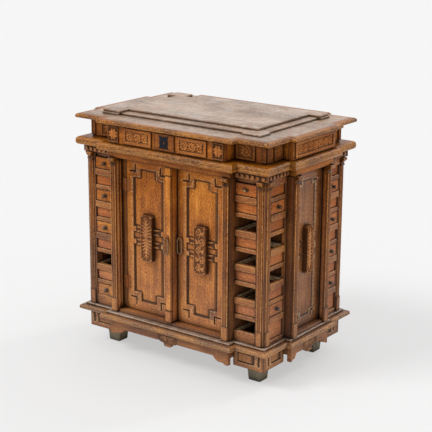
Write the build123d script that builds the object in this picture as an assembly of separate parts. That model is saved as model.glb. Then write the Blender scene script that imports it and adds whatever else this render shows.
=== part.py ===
"""Vargueno: a table cabinet with a hinged lid, two framed doors and four towers of small drawers.

Frame: millimetres, X to the right, Y to the back, Z up, origin under the middle of the feet.
The plan is symmetric about X and Y: four corner towers, a bay that steps forward on each face.
"""
from build123d import *
from math import atan, degrees
import os

# ---------------------------------------------------------------- driving dimensions
# Plan of the case
tower_half_x = 300          # outer face of the towers
tower_half_y = 190
front_bay_half = 204        # half width of the front and back bays
front_bay_step = 17         # face of the bay's boards past the towers, before its pilasters
side_bay_half = 92
side_bay_step = 19
overhang = 23               # nose of a moulding past the tower or the front pilasters
side_overhang = 14          # the same past the side pilasters

# Heights of the courses, from the floor up
foot_height = 48
plinth_height = 50
base_nose_height = 14
base_tier_height = 6
body_height = 463
cornice_height = 23
frieze_height = 52
lid_slab_height = 12
lower_tier_height = 6
upper_tier_height = 7

# Boards
wall = 8
plinth_wall = 12
panel_wall = 10
frieze_wall = 12
head_height = 19            # course of dentils and architraves under the cornice
sill_height = 8
post_x = 28                 # corner post of a tower
post_y = 25
bay_post = 15
tower_stile = 8

# Pilasters
bay_pilaster_width = 18
bay_pilaster_proud = 6
tower_pilaster_width = 14
tower_pilaster_proud = 3
base_block_height = 42
capital_height = 24
block_lip = 1.5             # base block and capital past the shaft, on each side
capital_throw = 10
pilaster_setback = 5        # bay corner left bare beside the pilaster

# Small drawers in the towers
opening_height = 34
first_front_level = 30      # lowest front opening, above the case floor
top_course = 12             # fixed rail over the highest front opening
top_course_sink = 6
front_levels = 5
side_levels = 4
drawer_gap = 0.5
drawer_inset = 1
drawer_front = 8
drawer_side = 4
drawer_bottom = 3
drawer_side_drop = 4
ledge_height = 12
rail_height = 18
rail_proud = 2
tower_panel_sink = 4
runner_width = 8
runner_height = 10
knob_radius = 6
knob_length = 13
knob_stem_radius = 2.6

# Doors
door_thickness = 18
jamb_width = 13.5           # from the bay's inner reveal to the door
door_gap = 0.5
meeting_gap = 2
door_recess = 26            # door face behind the bay face
astragal_half = 10
astragal_depth = 29
hinge_stile = 25
meeting_stile = 30
door_rail = 30
panel_thickness = 8
corner_step = 23            # square block that steps each corner of the field inwards
side_corner_step = 15
bar_width = 17              # cross bars from the stiles to the middle block
bar_spread = 9.5            # from the door's middle to each bar
boss_width = 38
side_boss_width = 26
boss_height = 132
boss_thickness = 16
boss_notch = 5              # cut out of each corner of the middle block
side_frame_thickness = 12
side_recess = 16            # side frame behind the side bay face
side_stile = 33

# Frieze under the lid
frieze_tower_inset_x = 8    # frieze faces behind or past the faces of the case below
frieze_tower_inset_y = 13
frieze_bay_inset = 11
frieze_bay_step = 16
frieze_side_spread = 12
frieze_side_step = 3
carving_proud = 4
lock_block_half = 34
scroll_start = 43
scroll_end = 139
rosette_start = 157
floor_thickness = 4

# Lid tiers
lower_tier_inset_x = 45     # edge of the tier inside the tower faces below
lower_tier_inset_y = 34
lower_ear_reach_x = 9       # ears past the edge of their tier
lower_ear_reach_y = 10
ear_length_x = 58
ear_length_y = 45
upper_tier_inset_x = 72
upper_tier_inset_y = 66
upper_ear_reach_x = 34
upper_ear_reach_y = 40

# Feet and aprons
foot_top = 46
foot_bottom = 38
foot_inset_x = 54           # foot centre inside the tower faces
foot_inset_y = 57
apron_setback = 10          # apron face behind the nose's bay pilasters
apron_rise = 22
bracket_width = 50
pendant_half = 32

# Irons
hinge_leaf = 1
hinge_leaf_width = 10.4
hinge_leaf_clear = 1.7      # leaf's edge to the pin axis, past the other half's knuckles
hinge_length = 36
knuckle_radius = 2.4
hinge_pin_radius = 1.2
hinge_play = 0.05
knuckle_gap = 0.3
pin_offset = 3              # door pin in front of the door face
door_hinge_rise = 60        # from each end of the door to the hinge
lid_hinge_x = 120
lid_pin_back = 4.5          # lid pin behind the back frieze
lid_pin_drop = 3.5
bail_wire = 2
bail_bend = 7
bail_straight = 30
bail_rise = 21              # pivot above the middle of the door's block
bail_stand_off = 6
bail_eye_radius = 4.5
bail_eye_hole = 2.7
bail_plate = 2
bail_plate_half = 6
escutcheon_width = 33
escutcheon_height = 38
escutcheon_thickness = 1.5
lock_width = 56
lock_height = 36
lock_depth = 11
staple_width = 16
staple_thickness = 3
staple_drop = 8
staple_play = 0.6

# ---------------------------------------------------------------- worked-out levels and planes
front_bay_face = tower_half_y + front_bay_step
side_bay_face = tower_half_x + side_bay_step
plinth_z = foot_height
base_z = plinth_z + plinth_height
tier_z = base_z + base_nose_height
floor_z = tier_z + base_tier_height
cornice_z = floor_z + body_height
frieze_z = cornice_z + cornice_height
lid_z = frieze_z + frieze_height
lower_tier_z = lid_z + lid_slab_height
upper_tier_z = lower_tier_z + lower_tier_height
top_z = upper_tier_z + upper_tier_height
head_z = cornice_z - head_height
sill_z = floor_z + sill_height
post_inner_x = tower_half_x - post_x
post_inner_y = tower_half_y - post_y
stile_inner_y = side_bay_half + tower_stile
jamb_x = front_bay_half - wall - bay_post
jamb_y = side_bay_half - wall - bay_post
door_half_span = jamb_x - jamb_width - door_gap
door_face = front_bay_face - door_recess
door_back = door_face - door_thickness
boss_z = (sill_z + head_z) / 2
bail_z = boss_z + bail_rise
frieze_bay_half = front_bay_half - frieze_bay_inset
frieze_bay_face = front_bay_face + frieze_bay_step
frieze_tower_x = tower_half_x - frieze_tower_inset_x
frieze_tower_y = tower_half_y - frieze_tower_inset_y
frieze_side_half = side_bay_half + frieze_side_spread
frieze_side_face = side_bay_face + frieze_side_step
lower_tier_x = tower_half_x - lower_tier_inset_x
lower_tier_y = tower_half_y - lower_tier_inset_y
upper_tier_x = tower_half_x - upper_tier_inset_x
upper_tier_y = tower_half_y - upper_tier_inset_y
foot_centre_x = tower_half_x - foot_inset_x
foot_centre_y = tower_half_y - foot_inset_y
side_frame_face = side_bay_face - side_recess
side_frame_back = side_frame_face - side_frame_thickness
level_pitch = (head_z - floor_z - first_front_level - opening_height - top_course) / (front_levels - 1)
front_zs = [floor_z + first_front_level + level_pitch * i for i in range(front_levels)]
side_zs = [front_zs[0] + level_pitch / 2 + level_pitch * i for i in range(side_levels)]


# ---------------------------------------------------------------- helpers
def board(x0, x1, y0, y1, z0, z1):
    """A square-edged board between two opposite corners."""
    middle = Pos((x0 + x1) / 2, (y0 + y1) / 2, (z0 + z1) / 2)
    return middle * Box(abs(x1 - x0), abs(y1 - y0), abs(z1 - z0))


def four(x0, x1, y0, y1, z0, z1):
    """The same board in each quarter of the plan."""
    signs = [(sx, sy) for sx in (-1, 1) for sy in (-1, 1)]
    return [board(sx * x0, sx * x1, sy * y0, sy * y1, z0, z1) for sx, sy in signs]


def pair_x(x0, x1, y0, y1, z0, z1):
    """A board and its mirror image across the middle, left and right."""
    return [board(s * x0, s * x1, y0, y1, z0, z1) for s in (-1, 1)]


def pair_y(x0, x1, y0, y1, z0, z1):
    """A board and its mirror image across the middle, front and back."""
    return [board(x0, x1, s * y0, s * y1, z0, z1) for s in (-1, 1)]


def plan(inset):
    """Outline of the mouldings: four towers and four bays, drawn in by an inset."""
    tx = tower_half_x + overhang - inset
    ty = tower_half_y + overhang - inset
    bx = front_bay_half + overhang - inset
    by = front_bay_face + bay_pilaster_proud + overhang - inset
    sx = side_bay_face + bay_pilaster_proud + side_overhang - inset
    sy = side_bay_half + overhang - inset
    quarter = [(sx, sy), (tx, sy), (tx, ty), (bx, ty), (bx, by)]
    second = [(-x, y) for x, y in reversed(quarter)]
    third = [(-x, -y) for x, y in quarter]
    fourth = [(x, -y) for x, y in reversed(quarter)]
    return make_face(Polyline(*quarter, *second, *third, *fourth, close=True))


def nosed_board(inset, z0, height, top_round, bottom_round):
    """A board over the whole plan with its edge rounded above and below."""
    solid = Pos(0, 0, z0) * extrude(plan(inset), height)
    level = solid.edges().filter_by(Plane.XY)
    solid = fillet(level.group_by(Axis.Z)[-1], top_round)
    level = solid.edges().filter_by(Plane.XY)
    return fillet(level.group_by(Axis.Z)[0], bottom_round)


def save(node, solids):
    """Write one node, each of its solids apart."""
    export_step(Compound(children=solids), f"parts/{node}.step")


# Outward turn of a face: 0 front, 90 right, 180 back, -90 left
def stand(piece, x, y, turn):
    """Set a piece made looking out along -Y on a face of the case."""
    return Pos(x, y, 0) * Rot(0, 0, turn) * piece


def bay_stations():
    """Middle of each bay pilaster on the face behind it, and its outward turn."""
    middle_x = front_bay_half - pilaster_setback - bay_pilaster_width / 2
    middle_y = side_bay_half - pilaster_setback - bay_pilaster_width / 2
    front = [(s * middle_x, -front_bay_face, 0) for s in (-1, 1)]
    back = [(s * middle_x, front_bay_face, 180) for s in (-1, 1)]
    right = [(side_bay_face, s * middle_y, 90) for s in (-1, 1)]
    left = [(-side_bay_face, s * middle_y, -90) for s in (-1, 1)]
    return front + back + right + left


def tower_stations():
    """The same for the narrow strips on the outer posts of the towers."""
    middle_x = tower_half_x - post_x / 2
    middle_y = tower_half_y - post_y / 2
    front = [(s * middle_x, -tower_half_y, 0) for s in (-1, 1)]
    back = [(s * middle_x, tower_half_y, 180) for s in (-1, 1)]
    right = [(tower_half_x, s * middle_y, 90) for s in (-1, 1)]
    left = [(-tower_half_x, s * middle_y, -90) for s in (-1, 1)]
    return front + back + right + left


# ---------------------------------------------------------------- foot and plinth
def feet():
    """Four plain blocks that taper to the floor."""
    taper = degrees(atan((foot_top - foot_bottom) / 2 / foot_height))
    block = extrude(Rectangle(foot_top, foot_top), foot_height, dir=(0, 0, -1), taper=taper)
    spots = [(sx, sy) for sx in (-1, 1) for sy in (-1, 1)]
    return [Pos(sx * foot_centre_x, sy * foot_centre_y, foot_height) * block for sx, sy in spots]


def plinth():
    """Boards round the foot of each tower, with a bottom board that takes the foot."""
    inner_x = tower_half_x - plinth_wall
    inner_y = tower_half_y - plinth_wall
    fronts = four(front_bay_half, tower_half_x, inner_y, tower_half_y, plinth_z, base_z)
    sides = four(inner_x, tower_half_x, side_bay_half, inner_y, plinth_z, base_z)
    bottoms = four(front_bay_half, inner_x, side_bay_half, inner_y, plinth_z, plinth_z + plinth_wall)
    return fronts + sides + bottoms


def apron_faces():
    """Distance of the front and side apron faces from the middle."""
    front = front_bay_face + bay_pilaster_proud + overhang - apron_setback - plinth_wall
    side = side_bay_face + bay_pilaster_proud + side_overhang - apron_setback - plinth_wall / 2
    return front, side


def aprons():
    """Aprons under the bays, returned to the plinth at both ends."""
    front, side = apron_faces()
    low = plinth_z + apron_rise
    inner_x = front_bay_half - plinth_wall
    inner_y = side_bay_half - plinth_wall
    boards = pair_y(-front_bay_half, front_bay_half, front - plinth_wall, front, low, base_z)
    boards += pair_x(side - plinth_wall, side, -side_bay_half, side_bay_half, low, base_z)
    boards += four(inner_x, front_bay_half, tower_half_y - plinth_wall, front - plinth_wall, low, base_z)
    boards += four(tower_half_x - plinth_wall, side - plinth_wall, inner_y, side_bay_half, low, base_z)
    return boards


def apron_brackets():
    """Bracket ends and a middle pendant hung below each apron."""
    front, side = apron_faces()
    low = plinth_z + apron_rise
    drop = plinth_z + 2
    end_x = front_bay_half
    end_y = side_bay_half
    pieces = four(end_x - bracket_width, end_x, front - plinth_wall, front, drop, low)
    pieces += four(side - plinth_wall, side, end_y - bracket_width / 2, end_y, drop, low)
    pieces += pair_y(-pendant_half, pendant_half, front - plinth_wall, front, drop + 5, low)
    pieces += pair_x(side - plinth_wall, side, -pendant_half, pendant_half, drop + 5, low)
    return pieces


def base_moulding():
    """Round-nosed base board with a stepped tier on it; the tier's top is the case floor."""
    nose = nosed_board(0, base_z, base_nose_height, 7, 5)
    tier = Pos(0, 0, tier_z) * extrude(plan(overhang - 9), base_tier_height)
    return [nose, tier]


# ---------------------------------------------------------------- case
def corner_posts():
    """Outer corner post of each tower."""
    return four(post_inner_x, tower_half_x, post_inner_y, tower_half_y, floor_z, head_z)


def tower_stiles():
    """Stile between a tower's side openings and the side bay."""
    inner = tower_half_x - panel_wall
    return four(inner, tower_half_x, side_bay_half, stile_inner_y, floor_z, head_z)


def case_walls():
    """Long walls beside the cupboard, cross walls beside the side bays, and their top plates."""
    inner = front_bay_half - wall
    cross = side_bay_half - wall
    reach = tower_half_y - plinth_wall
    reach_x = tower_half_x - plinth_wall
    walls = pair_x(inner, front_bay_half, -front_bay_face, front_bay_face, floor_z, head_z)
    walls += four(front_bay_half, side_bay_face, cross, side_bay_half, floor_z, head_z)
    walls += pair_x(inner, front_bay_half, -reach, reach, head_z, cornice_z)
    walls += four(front_bay_half, reach_x, cross, side_bay_half, head_z, cornice_z)
    back = tower_half_y - wall
    walls += pair_x(front_bay_half, post_inner_x, back, tower_half_y, floor_z, head_z)
    return walls


def bay_posts():
    """Posts at the corners of the bays, and the jambs that the doors hang on."""
    inner = front_bay_half - wall
    cross = side_bay_half - wall
    posts = four(jamb_x, inner, door_back, front_bay_face, floor_z, head_z)
    posts += four(side_frame_back, side_bay_face, jamb_y, cross, floor_z, head_z)
    jamb_edge = door_half_span + door_gap
    posts += pair_x(jamb_edge, jamb_x, -door_face, -door_back, sill_z, head_z)
    return posts


def bay_rails():
    """Sills between the bay posts, in front of the doors and the fixed panels."""
    rails = pair_y(-jamb_x, jamb_x, door_back, front_bay_face, floor_z, sill_z)
    rails += pair_x(side_frame_back, side_bay_face, -jamb_y, jamb_y, floor_z, sill_z)
    return rails


def head_rails():
    """Course of boards under the cornice: architraves of the bays and heads of the towers."""
    reach_y = tower_half_y - plinth_wall
    reach_x = tower_half_x - plinth_wall
    front = front_bay_face + bay_pilaster_proud
    side = side_bay_face + bay_pilaster_proud
    rails = pair_y(-front_bay_half, front_bay_half, reach_y, front, head_z, cornice_z)
    rails += pair_x(reach_x, side, -side_bay_half, side_bay_half, head_z, cornice_z)
    rails += four(front_bay_half, tower_half_x, reach_y, tower_half_y, head_z, cornice_z)
    rails += four(reach_x, tower_half_x, side_bay_half, reach_y, head_z, cornice_z)
    return rails


def tooth_row(length, depth):
    """Strip with square teeth along X from 0 to the length, its back on Y 0, facing -Y."""
    back = depth / 2
    strip = board(0, length, -back, 0, head_z, cornice_z)
    pitch = 16
    count = int(length // pitch)
    tooth = pitch * 0.55
    start = (length - (count - 1) * pitch - tooth) / 2
    low = head_z + 4
    high = cornice_z - 5
    for i in range(count):
        left = start + i * pitch
        strip += board(left, left + tooth, -depth, -back, low, high)
    return strip


def dentils():
    """Rows of small square teeth round the heads of the towers."""
    depth = 9
    long_row = tooth_row(tower_half_x - front_bay_half + depth, depth)
    short_row = tooth_row(tower_half_y - side_bay_half, depth)
    row_right = Pos(front_bay_half, -tower_half_y, 0) * long_row
    side_right = Pos(tower_half_x, -tower_half_y, 0) * Rot(0, 0, 90) * short_row
    rows = []
    for row in (row_right, side_right):
        rows += [row, mirror(row, Plane.YZ), mirror(row, Plane.XZ)]
        rows.append(mirror(mirror(row, Plane.YZ), Plane.XZ))
    return rows


# ---------------------------------------------------------------- pilasters
def shaft(width, proud):
    """Pilaster shaft between its base block and capital."""
    low = floor_z + base_block_height
    return board(-width / 2, width / 2, -proud, 0, low, head_z - capital_height)


def base_block(width, proud):
    """Square block under a pilaster."""
    half = width / 2 + block_lip
    return board(-half, half, -proud - block_lip, 0, floor_z, floor_z + base_block_height)


def capital(width, proud):
    """Console whose face swells forward as it rises."""
    half = width / 2 + block_lip
    low = head_z - capital_height
    top_out = proud + capital_throw
    bottom = Line((0, low), (proud + block_lip, low))
    swell = TangentArc((proud + block_lip, low), (top_out, head_z), tangent=(0.2, 1))
    top = Line((top_out, head_z), (0, head_z))
    back = Line((0, head_z), (0, low))
    side = Plane(origin=(half, 0, 0), x_dir=(0, -1, 0), z_dir=(-1, 0, 0))
    return extrude(side * make_face([bottom, swell, top, back]), 2 * half)


def on_stations(shape):
    """One piece at every pilaster station, bays first."""
    bay = shape(bay_pilaster_width, bay_pilaster_proud)
    tower = shape(tower_pilaster_width, tower_pilaster_proud)
    placed = [stand(bay, *spot) for spot in bay_stations()]
    return placed + [stand(tower, *spot) for spot in tower_stations()]


# ---------------------------------------------------------------- towers
def tower_courses(levels):
    """Heights of the fixed courses above, between and below a face's openings."""
    lows = [floor_z] + [z + opening_height for z in levels]
    highs = list(levels) + [head_z]
    return list(zip(lows, highs))


def course_boards(levels, place):
    """Rails and panels of one face. place(thickness, proud, z0, z1) sets a board four times."""
    rails = []
    panels = []
    for low, high in tower_courses(levels):
        if high - low <= ledge_height + rail_height:
            sink = top_course_sink if high == head_z else 0
            rails += place(panel_wall, -sink, low, high)
            continue
        rails += place(panel_wall, 0, low, low + ledge_height)
        rails += place(panel_wall, rail_proud, high - rail_height, high)
        panels += place(panel_wall, -tower_panel_sink, low + ledge_height, high - rail_height)
    return rails, panels


def front_course(thickness, proud, z0, z1):
    """Board across a front tower opening, left and right."""
    face = -tower_half_y - proud
    back = -tower_half_y + thickness
    return pair_x(front_bay_half, post_inner_x, face, back, z0, z1)


def side_course(thickness, proud, z0, z1):
    """Board across a side opening of each tower."""
    face = tower_half_x + proud
    return four(tower_half_x - thickness, face, stile_inner_y, post_inner_y, z0, z1)


def tower_faces():
    """All fixed rails and all sunk panels of the towers."""
    front_rails, front_panels = course_boards(front_zs, front_course)
    side_rails, side_panels = course_boards(side_zs, side_course)
    return front_rails + side_rails, front_panels + side_panels


def tower_runners():
    """Pairs of runners that carry the drawers across each tower."""
    front_back = tower_half_y - panel_wall
    side_back = tower_half_x - panel_wall
    runners = []
    for z in front_zs:
        low = z - runner_height
        inner = front_bay_half + runner_width
        outer = post_inner_x - runner_width
        runners += pair_x(front_bay_half, inner, -front_back, -side_bay_half, low, z)
        runners += pair_x(outer, post_inner_x, -front_back, -side_bay_half, low, z)
    for z in side_zs:
        low = z - runner_height
        near = stile_inner_y + runner_width
        runners += four(front_bay_half, side_back, side_bay_half, near, low, z)
        runners += four(front_bay_half, side_back, post_inner_y - runner_width, post_inner_y, low, z)
    return runners


def knob():
    """Turned knob on a thin stem, looking out along -Y from Y 0."""
    neck = knob_length - 2 * knob_radius + 2
    stem = Rot(90, 0, 0) * Cylinder(knob_stem_radius, neck, align=(Align.CENTER, Align.CENTER, Align.MIN))
    head = Pos(0, -knob_length + knob_radius, 0) * Sphere(knob_radius)
    return stem + head


def drawer(width, depth):
    """Small drawer with its front on Y 0 looking out along -Y, and its floor on Z 0."""
    half = width / 2
    height = opening_height - drawer_gap
    side_top = height - drawer_side_drop
    front = board(-half, half, 0, drawer_front, 0, height)
    bottom = board(-half, half, drawer_front, depth, 0, drawer_bottom)
    end = depth - drawer_side
    sides = pair_x(half - drawer_side, half, drawer_front, depth, drawer_bottom, side_top)
    back = board(-half + drawer_side, half - drawer_side, end, depth, drawer_bottom, side_top)
    return [front, bottom, back, Pos(0, 0, height / 2) * knob()] + sides


def front_drawer(side, level):
    """A drawer in the front of a front tower; side is -1 left, 1 right, level 0 the lowest."""
    width = post_inner_x - front_bay_half - 2 * drawer_gap
    depth = tower_half_y - side_bay_half - drawer_inset - drawer_gap
    middle = side * (post_inner_x + front_bay_half) / 2
    spot = Pos(middle, -tower_half_y + drawer_inset, front_zs[level])
    return [spot * solid for solid in drawer(width, depth)]


def side_drawer(side, end, level):
    """A drawer in the side of a tower; end is -1 for the front towers, 1 for the back ones."""
    width = post_inner_y - stile_inner_y - 2 * drawer_gap
    depth = tower_half_x - front_bay_half - drawer_inset - drawer_gap
    middle = end * (post_inner_y + stile_inner_y) / 2
    spot = Pos(side * (tower_half_x - drawer_inset), middle, side_zs[level]) * Rot(0, 0, side * 90)
    return [spot * solid for solid in drawer(width, depth)]


# ---------------------------------------------------------------- framed panels
def frame(x0, x1, z0, z1, thickness, stile_low, stile_high, rail):
    """Stiles and rails of a framed panel seen from the front, its face on Y 0."""
    inner = (x0 + stile_low, x1 - stile_high)
    boards = [board(x0, inner[0], 0, thickness, z0, z1), board(inner[1], x1, 0, thickness, z0, z1)]
    boards.append(board(*inner, 0, thickness, z0, z0 + rail))
    boards.append(board(*inner, 0, thickness, z1 - rail, z1))
    return boards


def panel(x0, x1, z0, z1, thickness, stile_low, stile_high, rail):
    """The panel inside that frame, sunk behind its face."""
    back = (thickness + panel_thickness) / 2
    left = x0 + stile_low
    right = x1 - stile_high
    return [board(left, right, back - panel_thickness, back, z0 + rail, z1 - rail)]


def fret(x0, x1, z0, z1, sink, step, block_width):
    """Square blocks in the field's corners, and two cross bars from each stile to the middle block."""
    bars = []
    for left, right in ((x0, x0 + step), (x1 - step, x1)):
        bars += [board(left, right, 0, sink, low, low + step) for low in (z0, z1 - step)]
    middle = (x0 + x1) / 2
    for low in (boss_z - bar_spread - bar_width, boss_z + bar_spread):
        bars.append(board(x0, middle - block_width / 2, 0, sink, low, low + bar_width))
        bars.append(board(middle + block_width / 2, x1, 0, sink, low, low + bar_width))
    return bars


def boss(x0, x1, sink, block_width):
    """Raised middle block with notched ends, from the panel out past the cross bars."""
    middle = (x0 + x1) / 2
    half = block_width / 2
    y0 = sink - boss_thickness
    half_tall = boss_height / 2
    narrow = half - boss_notch
    short = half_tall - boss_notch
    tall = board(middle - narrow, middle + narrow, y0, sink, boss_z - half_tall, boss_z + half_tall)
    wide = board(middle - half, middle + half, y0, sink, boss_z - short, boss_z + short)
    return [tall + wide]


def sunk(thickness):
    """Depth of a panel's face behind its frame's face."""
    return (thickness - panel_thickness) / 2


door_low = sill_z + door_gap
door_high = head_z - door_gap


def door_pieces(side):
    """Frame, panel, fret and boss of one door; side is -1 left, 1 right."""
    edge = astragal_half if side < 0 else -astragal_half - meeting_gap
    x0 = -door_half_span
    x1 = edge - 2 * astragal_half if side < 0 else edge
    limits = (x0, x1, door_low, door_high, door_thickness, hinge_stile, meeting_stile, door_rail)
    sink = sunk(door_thickness)
    field = (x0 + hinge_stile, x1 - meeting_stile)
    sets = [frame(*limits), panel(*limits)]
    sets.append(fret(*field, door_low + door_rail, door_high - door_rail, sink, corner_step, boss_width))
    sets.append(boss(*field, sink, boss_width))
    placed = [[Pos(0, -door_face, 0) * solid for solid in solids] for solids in sets]
    if side > 0:
        placed = [[mirror(solid, Plane.YZ) for solid in solids] for solids in placed]
    return placed


def astragal():
    """Middle pilaster that closes the gap between the doors, fixed to the left one."""
    body = board(-astragal_half, astragal_half, -door_face, -door_back, door_low, door_high)
    depth = astragal_depth - bay_pilaster_proud
    face = -door_face
    low = floor_z + base_block_height
    high = head_z - capital_height
    post = board(-astragal_half, astragal_half, face - depth, face, door_low, door_high)
    strip = board(-astragal_half + 1, astragal_half - 1, face - astragal_depth, face - depth, low, high)
    block = board(-astragal_half, astragal_half, face - astragal_depth - block_lip, face - depth, door_low, low)
    top = board(-astragal_half, astragal_half, face - astragal_depth - block_lip, face - depth, high, door_high)
    return [body, post, strip, block, top]


def fixed_panels():
    """Framed panels of the side bays, and two in the back bay beside a middle stile."""
    sides = (-jamb_y, jamb_y, sill_z, head_z, side_frame_thickness, side_stile, side_stile, door_rail)
    back = (-jamb_x, 0, sill_z, head_z, door_thickness, hinge_stile, hinge_stile, door_rail)
    frames = []
    panels = []
    frets = []
    bosses = []
    for turn in (90, -90):
        x = side_frame_face if turn > 0 else -side_frame_face
        sink = sunk(side_frame_thickness)
        field = (sides[0] + side_stile, sides[1] - side_stile)
        heights = (sill_z + door_rail, head_z - door_rail)
        bars = fret(*field, *heights, sink, side_corner_step, side_boss_width)
        frames += [stand(solid, x, 0, turn) for solid in frame(*sides)]
        panels += [stand(solid, x, 0, turn) for solid in panel(*sides)]
        frets += [stand(solid, x, 0, turn) for solid in bars]
        bosses += [stand(solid, x, 0, turn) for solid in boss(*field, sink, side_boss_width)]
    half_frame = frame(*back)
    half_panel = panel(*back)
    for solids, half in ((frames, half_frame), (panels, half_panel)):
        placed = [stand(solid, 0, door_face, 180) for solid in half]
        solids += placed + [mirror(solid, Plane.YZ) for solid in placed]
    return frames, panels, frets, bosses


def cupboard_shelf():
    """Shelf across the cupboard on two cleats."""
    inner = front_bay_half - wall
    reach = door_back - 3
    shelf = board(-inner, inner, -reach, reach, boss_z, boss_z + panel_wall)
    return [shelf] + pair_x(inner - panel_wall, inner, -reach, reach, boss_z - panel_wall, boss_z)


# ---------------------------------------------------------------- cornice, frieze and lid
def frieze_boards():
    """Ring of boards round the lid compartment."""
    w = frieze_wall
    z = (frieze_z, lid_z)
    boards = pair_y(-frieze_bay_half, frieze_bay_half, frieze_bay_face - w, frieze_bay_face, *z)
    boards += four(frieze_bay_half - w, frieze_bay_half, frieze_tower_y - w, frieze_bay_face - w, *z)
    boards += four(frieze_bay_half, frieze_tower_x, frieze_tower_y - w, frieze_tower_y, *z)
    boards += four(frieze_tower_x - w, frieze_tower_x, frieze_side_half, frieze_tower_y - w, *z)
    boards += four(frieze_tower_x - w, frieze_side_face - w, frieze_side_half - w, frieze_side_half, *z)
    boards += pair_x(frieze_side_face - w, frieze_side_face, -frieze_side_half, frieze_side_half, *z)
    return boards


def frieze_carvings():
    """Raised carved blocks and panels planted on the frieze."""
    low = frieze_z + 5
    high = lid_z - 4
    face = frieze_bay_face
    proud = face + carving_proud
    tower = frieze_tower_y
    blocks = [board(-lock_block_half, lock_block_half, -proud, -face, low, high)]
    blocks += pair_x(scroll_start, scroll_end, -proud, -face, low, high)
    blocks += pair_x(rosette_start, frieze_bay_half - 1, -proud, -face, low, high)
    out = -tower - carving_proud
    blocks += pair_x(frieze_bay_half + 6, frieze_tower_x - 34, out, -tower, low, high)
    blocks += pair_x(frieze_tower_x - 14, frieze_tower_x, out, -tower, low, high)
    side = frieze_tower_x
    blocks += four(side, side + carving_proud, frieze_side_half + 6, tower - 30, low, high)
    blocks += four(side, side + carving_proud, tower - 12, tower, low, high)
    long_side = frieze_side_face
    reach = frieze_side_half - 9
    blocks += pair_x(long_side, long_side + carving_proud, -reach, reach, low, high)
    return blocks


def compartment_floor():
    """Thin floor board of the lid compartment."""
    inner_x = frieze_tower_x - frieze_wall
    inner_y = frieze_tower_y - frieze_wall
    return [board(-inner_x, inner_x, -inner_y, inner_y, frieze_z, frieze_z + floor_thickness)]


def lid_tier(half_x, half_y, reach_x, reach_y, z0, height, corners):
    """Raised field on the lid with square ears at the named corners."""
    tier = board(-half_x, half_x, -half_y, half_y, z0, z0 + height)
    ear_x = half_x + reach_x
    ear_y = half_y + reach_y
    for sx, sy in corners:
        xs = (sx * (ear_x - ear_length_x), sx * ear_x)
        ys = (sy * (ear_y - ear_length_y), sy * ear_y)
        tier += board(*xs, *ys, z0, z0 + height)
    return tier


# ---------------------------------------------------------------- irons
def knuckles(fixed):
    """Knuckles round a Z axis from 0 to the hinge length: the outer two, or the middle one."""
    third = hinge_length / 3
    spans = [(0, third), (2 * third, hinge_length)] if fixed else [(third, 2 * third)]
    solids = []
    for low, high in spans:
        gap = 0 if fixed else knuckle_gap
        ring = Circle(knuckle_radius) - Circle(hinge_pin_radius + hinge_play)
        solids.append(Pos(0, 0, low + gap) * extrude(ring, high - low - 2 * gap))
    return solids


def hinge_half(fixed):
    """Leaf on +X with its knuckles; the leaf lies behind the pin by the pin offset."""
    start = hinge_leaf_clear
    leaf = board(start, start + hinge_leaf_width, pin_offset - hinge_leaf, pin_offset, 0, hinge_length)
    bore = Cylinder(hinge_pin_radius + hinge_play, 3 * hinge_length)
    half = leaf
    for ring in knuckles(fixed):
        box = ring.bounding_box()
        half += board(0, start, pin_offset - hinge_leaf, pin_offset, box.min.Z, box.max.Z)
        half += ring
    return half - bore


def hinge_pin():
    """Pin through the knuckles."""
    return extrude(Circle(hinge_pin_radius), hinge_length)


def door_hinge_spots():
    """Left pin of each door hinge; the right ones mirror it."""
    x = -door_half_span - door_gap / 2
    y = -door_face - pin_offset
    lows = (door_low + door_hinge_rise, door_high - door_hinge_rise - hinge_length)
    return [(x, y, z) for z in lows]


def lid_hinge_spots():
    """Start of each lid hinge pin, which runs along X behind the back frieze."""
    y = frieze_bay_face + lid_pin_back
    z = lid_z - lid_pin_drop
    return [(s * lid_hinge_x - hinge_length / 2, y, z) for s in (-1, 1)]


def door_leaves(side):
    """Moving leaves on one door."""
    left = [Pos(*spot) * hinge_half(False) for spot in door_hinge_spots()]
    return left if side < 0 else [mirror(solid, Plane.YZ) for solid in left]


def lid_leaf(fixed):
    """One half of a lid hinge, its pin along X: fixed on the frieze, or moving under the slab."""
    rings = [Rot(0, 90, 0) * ring for ring in knuckles(fixed)]
    bore = Rot(0, 90, 0) * extrude(Circle(hinge_pin_radius + hinge_play), hinge_length)
    if fixed:
        half = board(0, hinge_length, -lid_pin_back, -lid_pin_back + hinge_leaf, -20, -1)
    else:
        top = lid_pin_drop
        half = board(0, hinge_length, 1, 7.5, top - hinge_leaf, top)
    for ring in rings:
        box = ring.bounding_box()
        if fixed:
            half += board(box.min.X, box.max.X, -lid_pin_back, 0, -2, -1)
        else:
            half += board(box.min.X, box.max.X, 1, 2, 0, lid_pin_drop)
        half += ring
    return half - bore


def hinge_leaves():
    """Fixed leaves and pins of the door hinges and the lid hinges."""
    fixed = mirror(hinge_half(True), Plane.YZ)
    left = [Pos(*spot) * solid for spot in door_hinge_spots() for solid in (fixed, hinge_pin())]
    lid = [lid_leaf(True), Rot(0, 90, 0) * hinge_pin()]
    lids = [Pos(*spot) * solid for spot in lid_hinge_spots() for solid in lid]
    return left + [mirror(solid, Plane.YZ) for solid in left] + lids


def bail_spot(side):
    """Pivot of a door's bail: on the face of the middle pilaster, or beside it on the right door."""
    if side < 0:
        x = bail_plate_half - astragal_half + 1
        return (x, -door_face - astragal_depth - bail_stand_off, bail_z)
    x = astragal_half + meeting_gap + bail_bend + bail_wire
    return (x, -door_face - bail_stand_off, bail_z)


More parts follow.
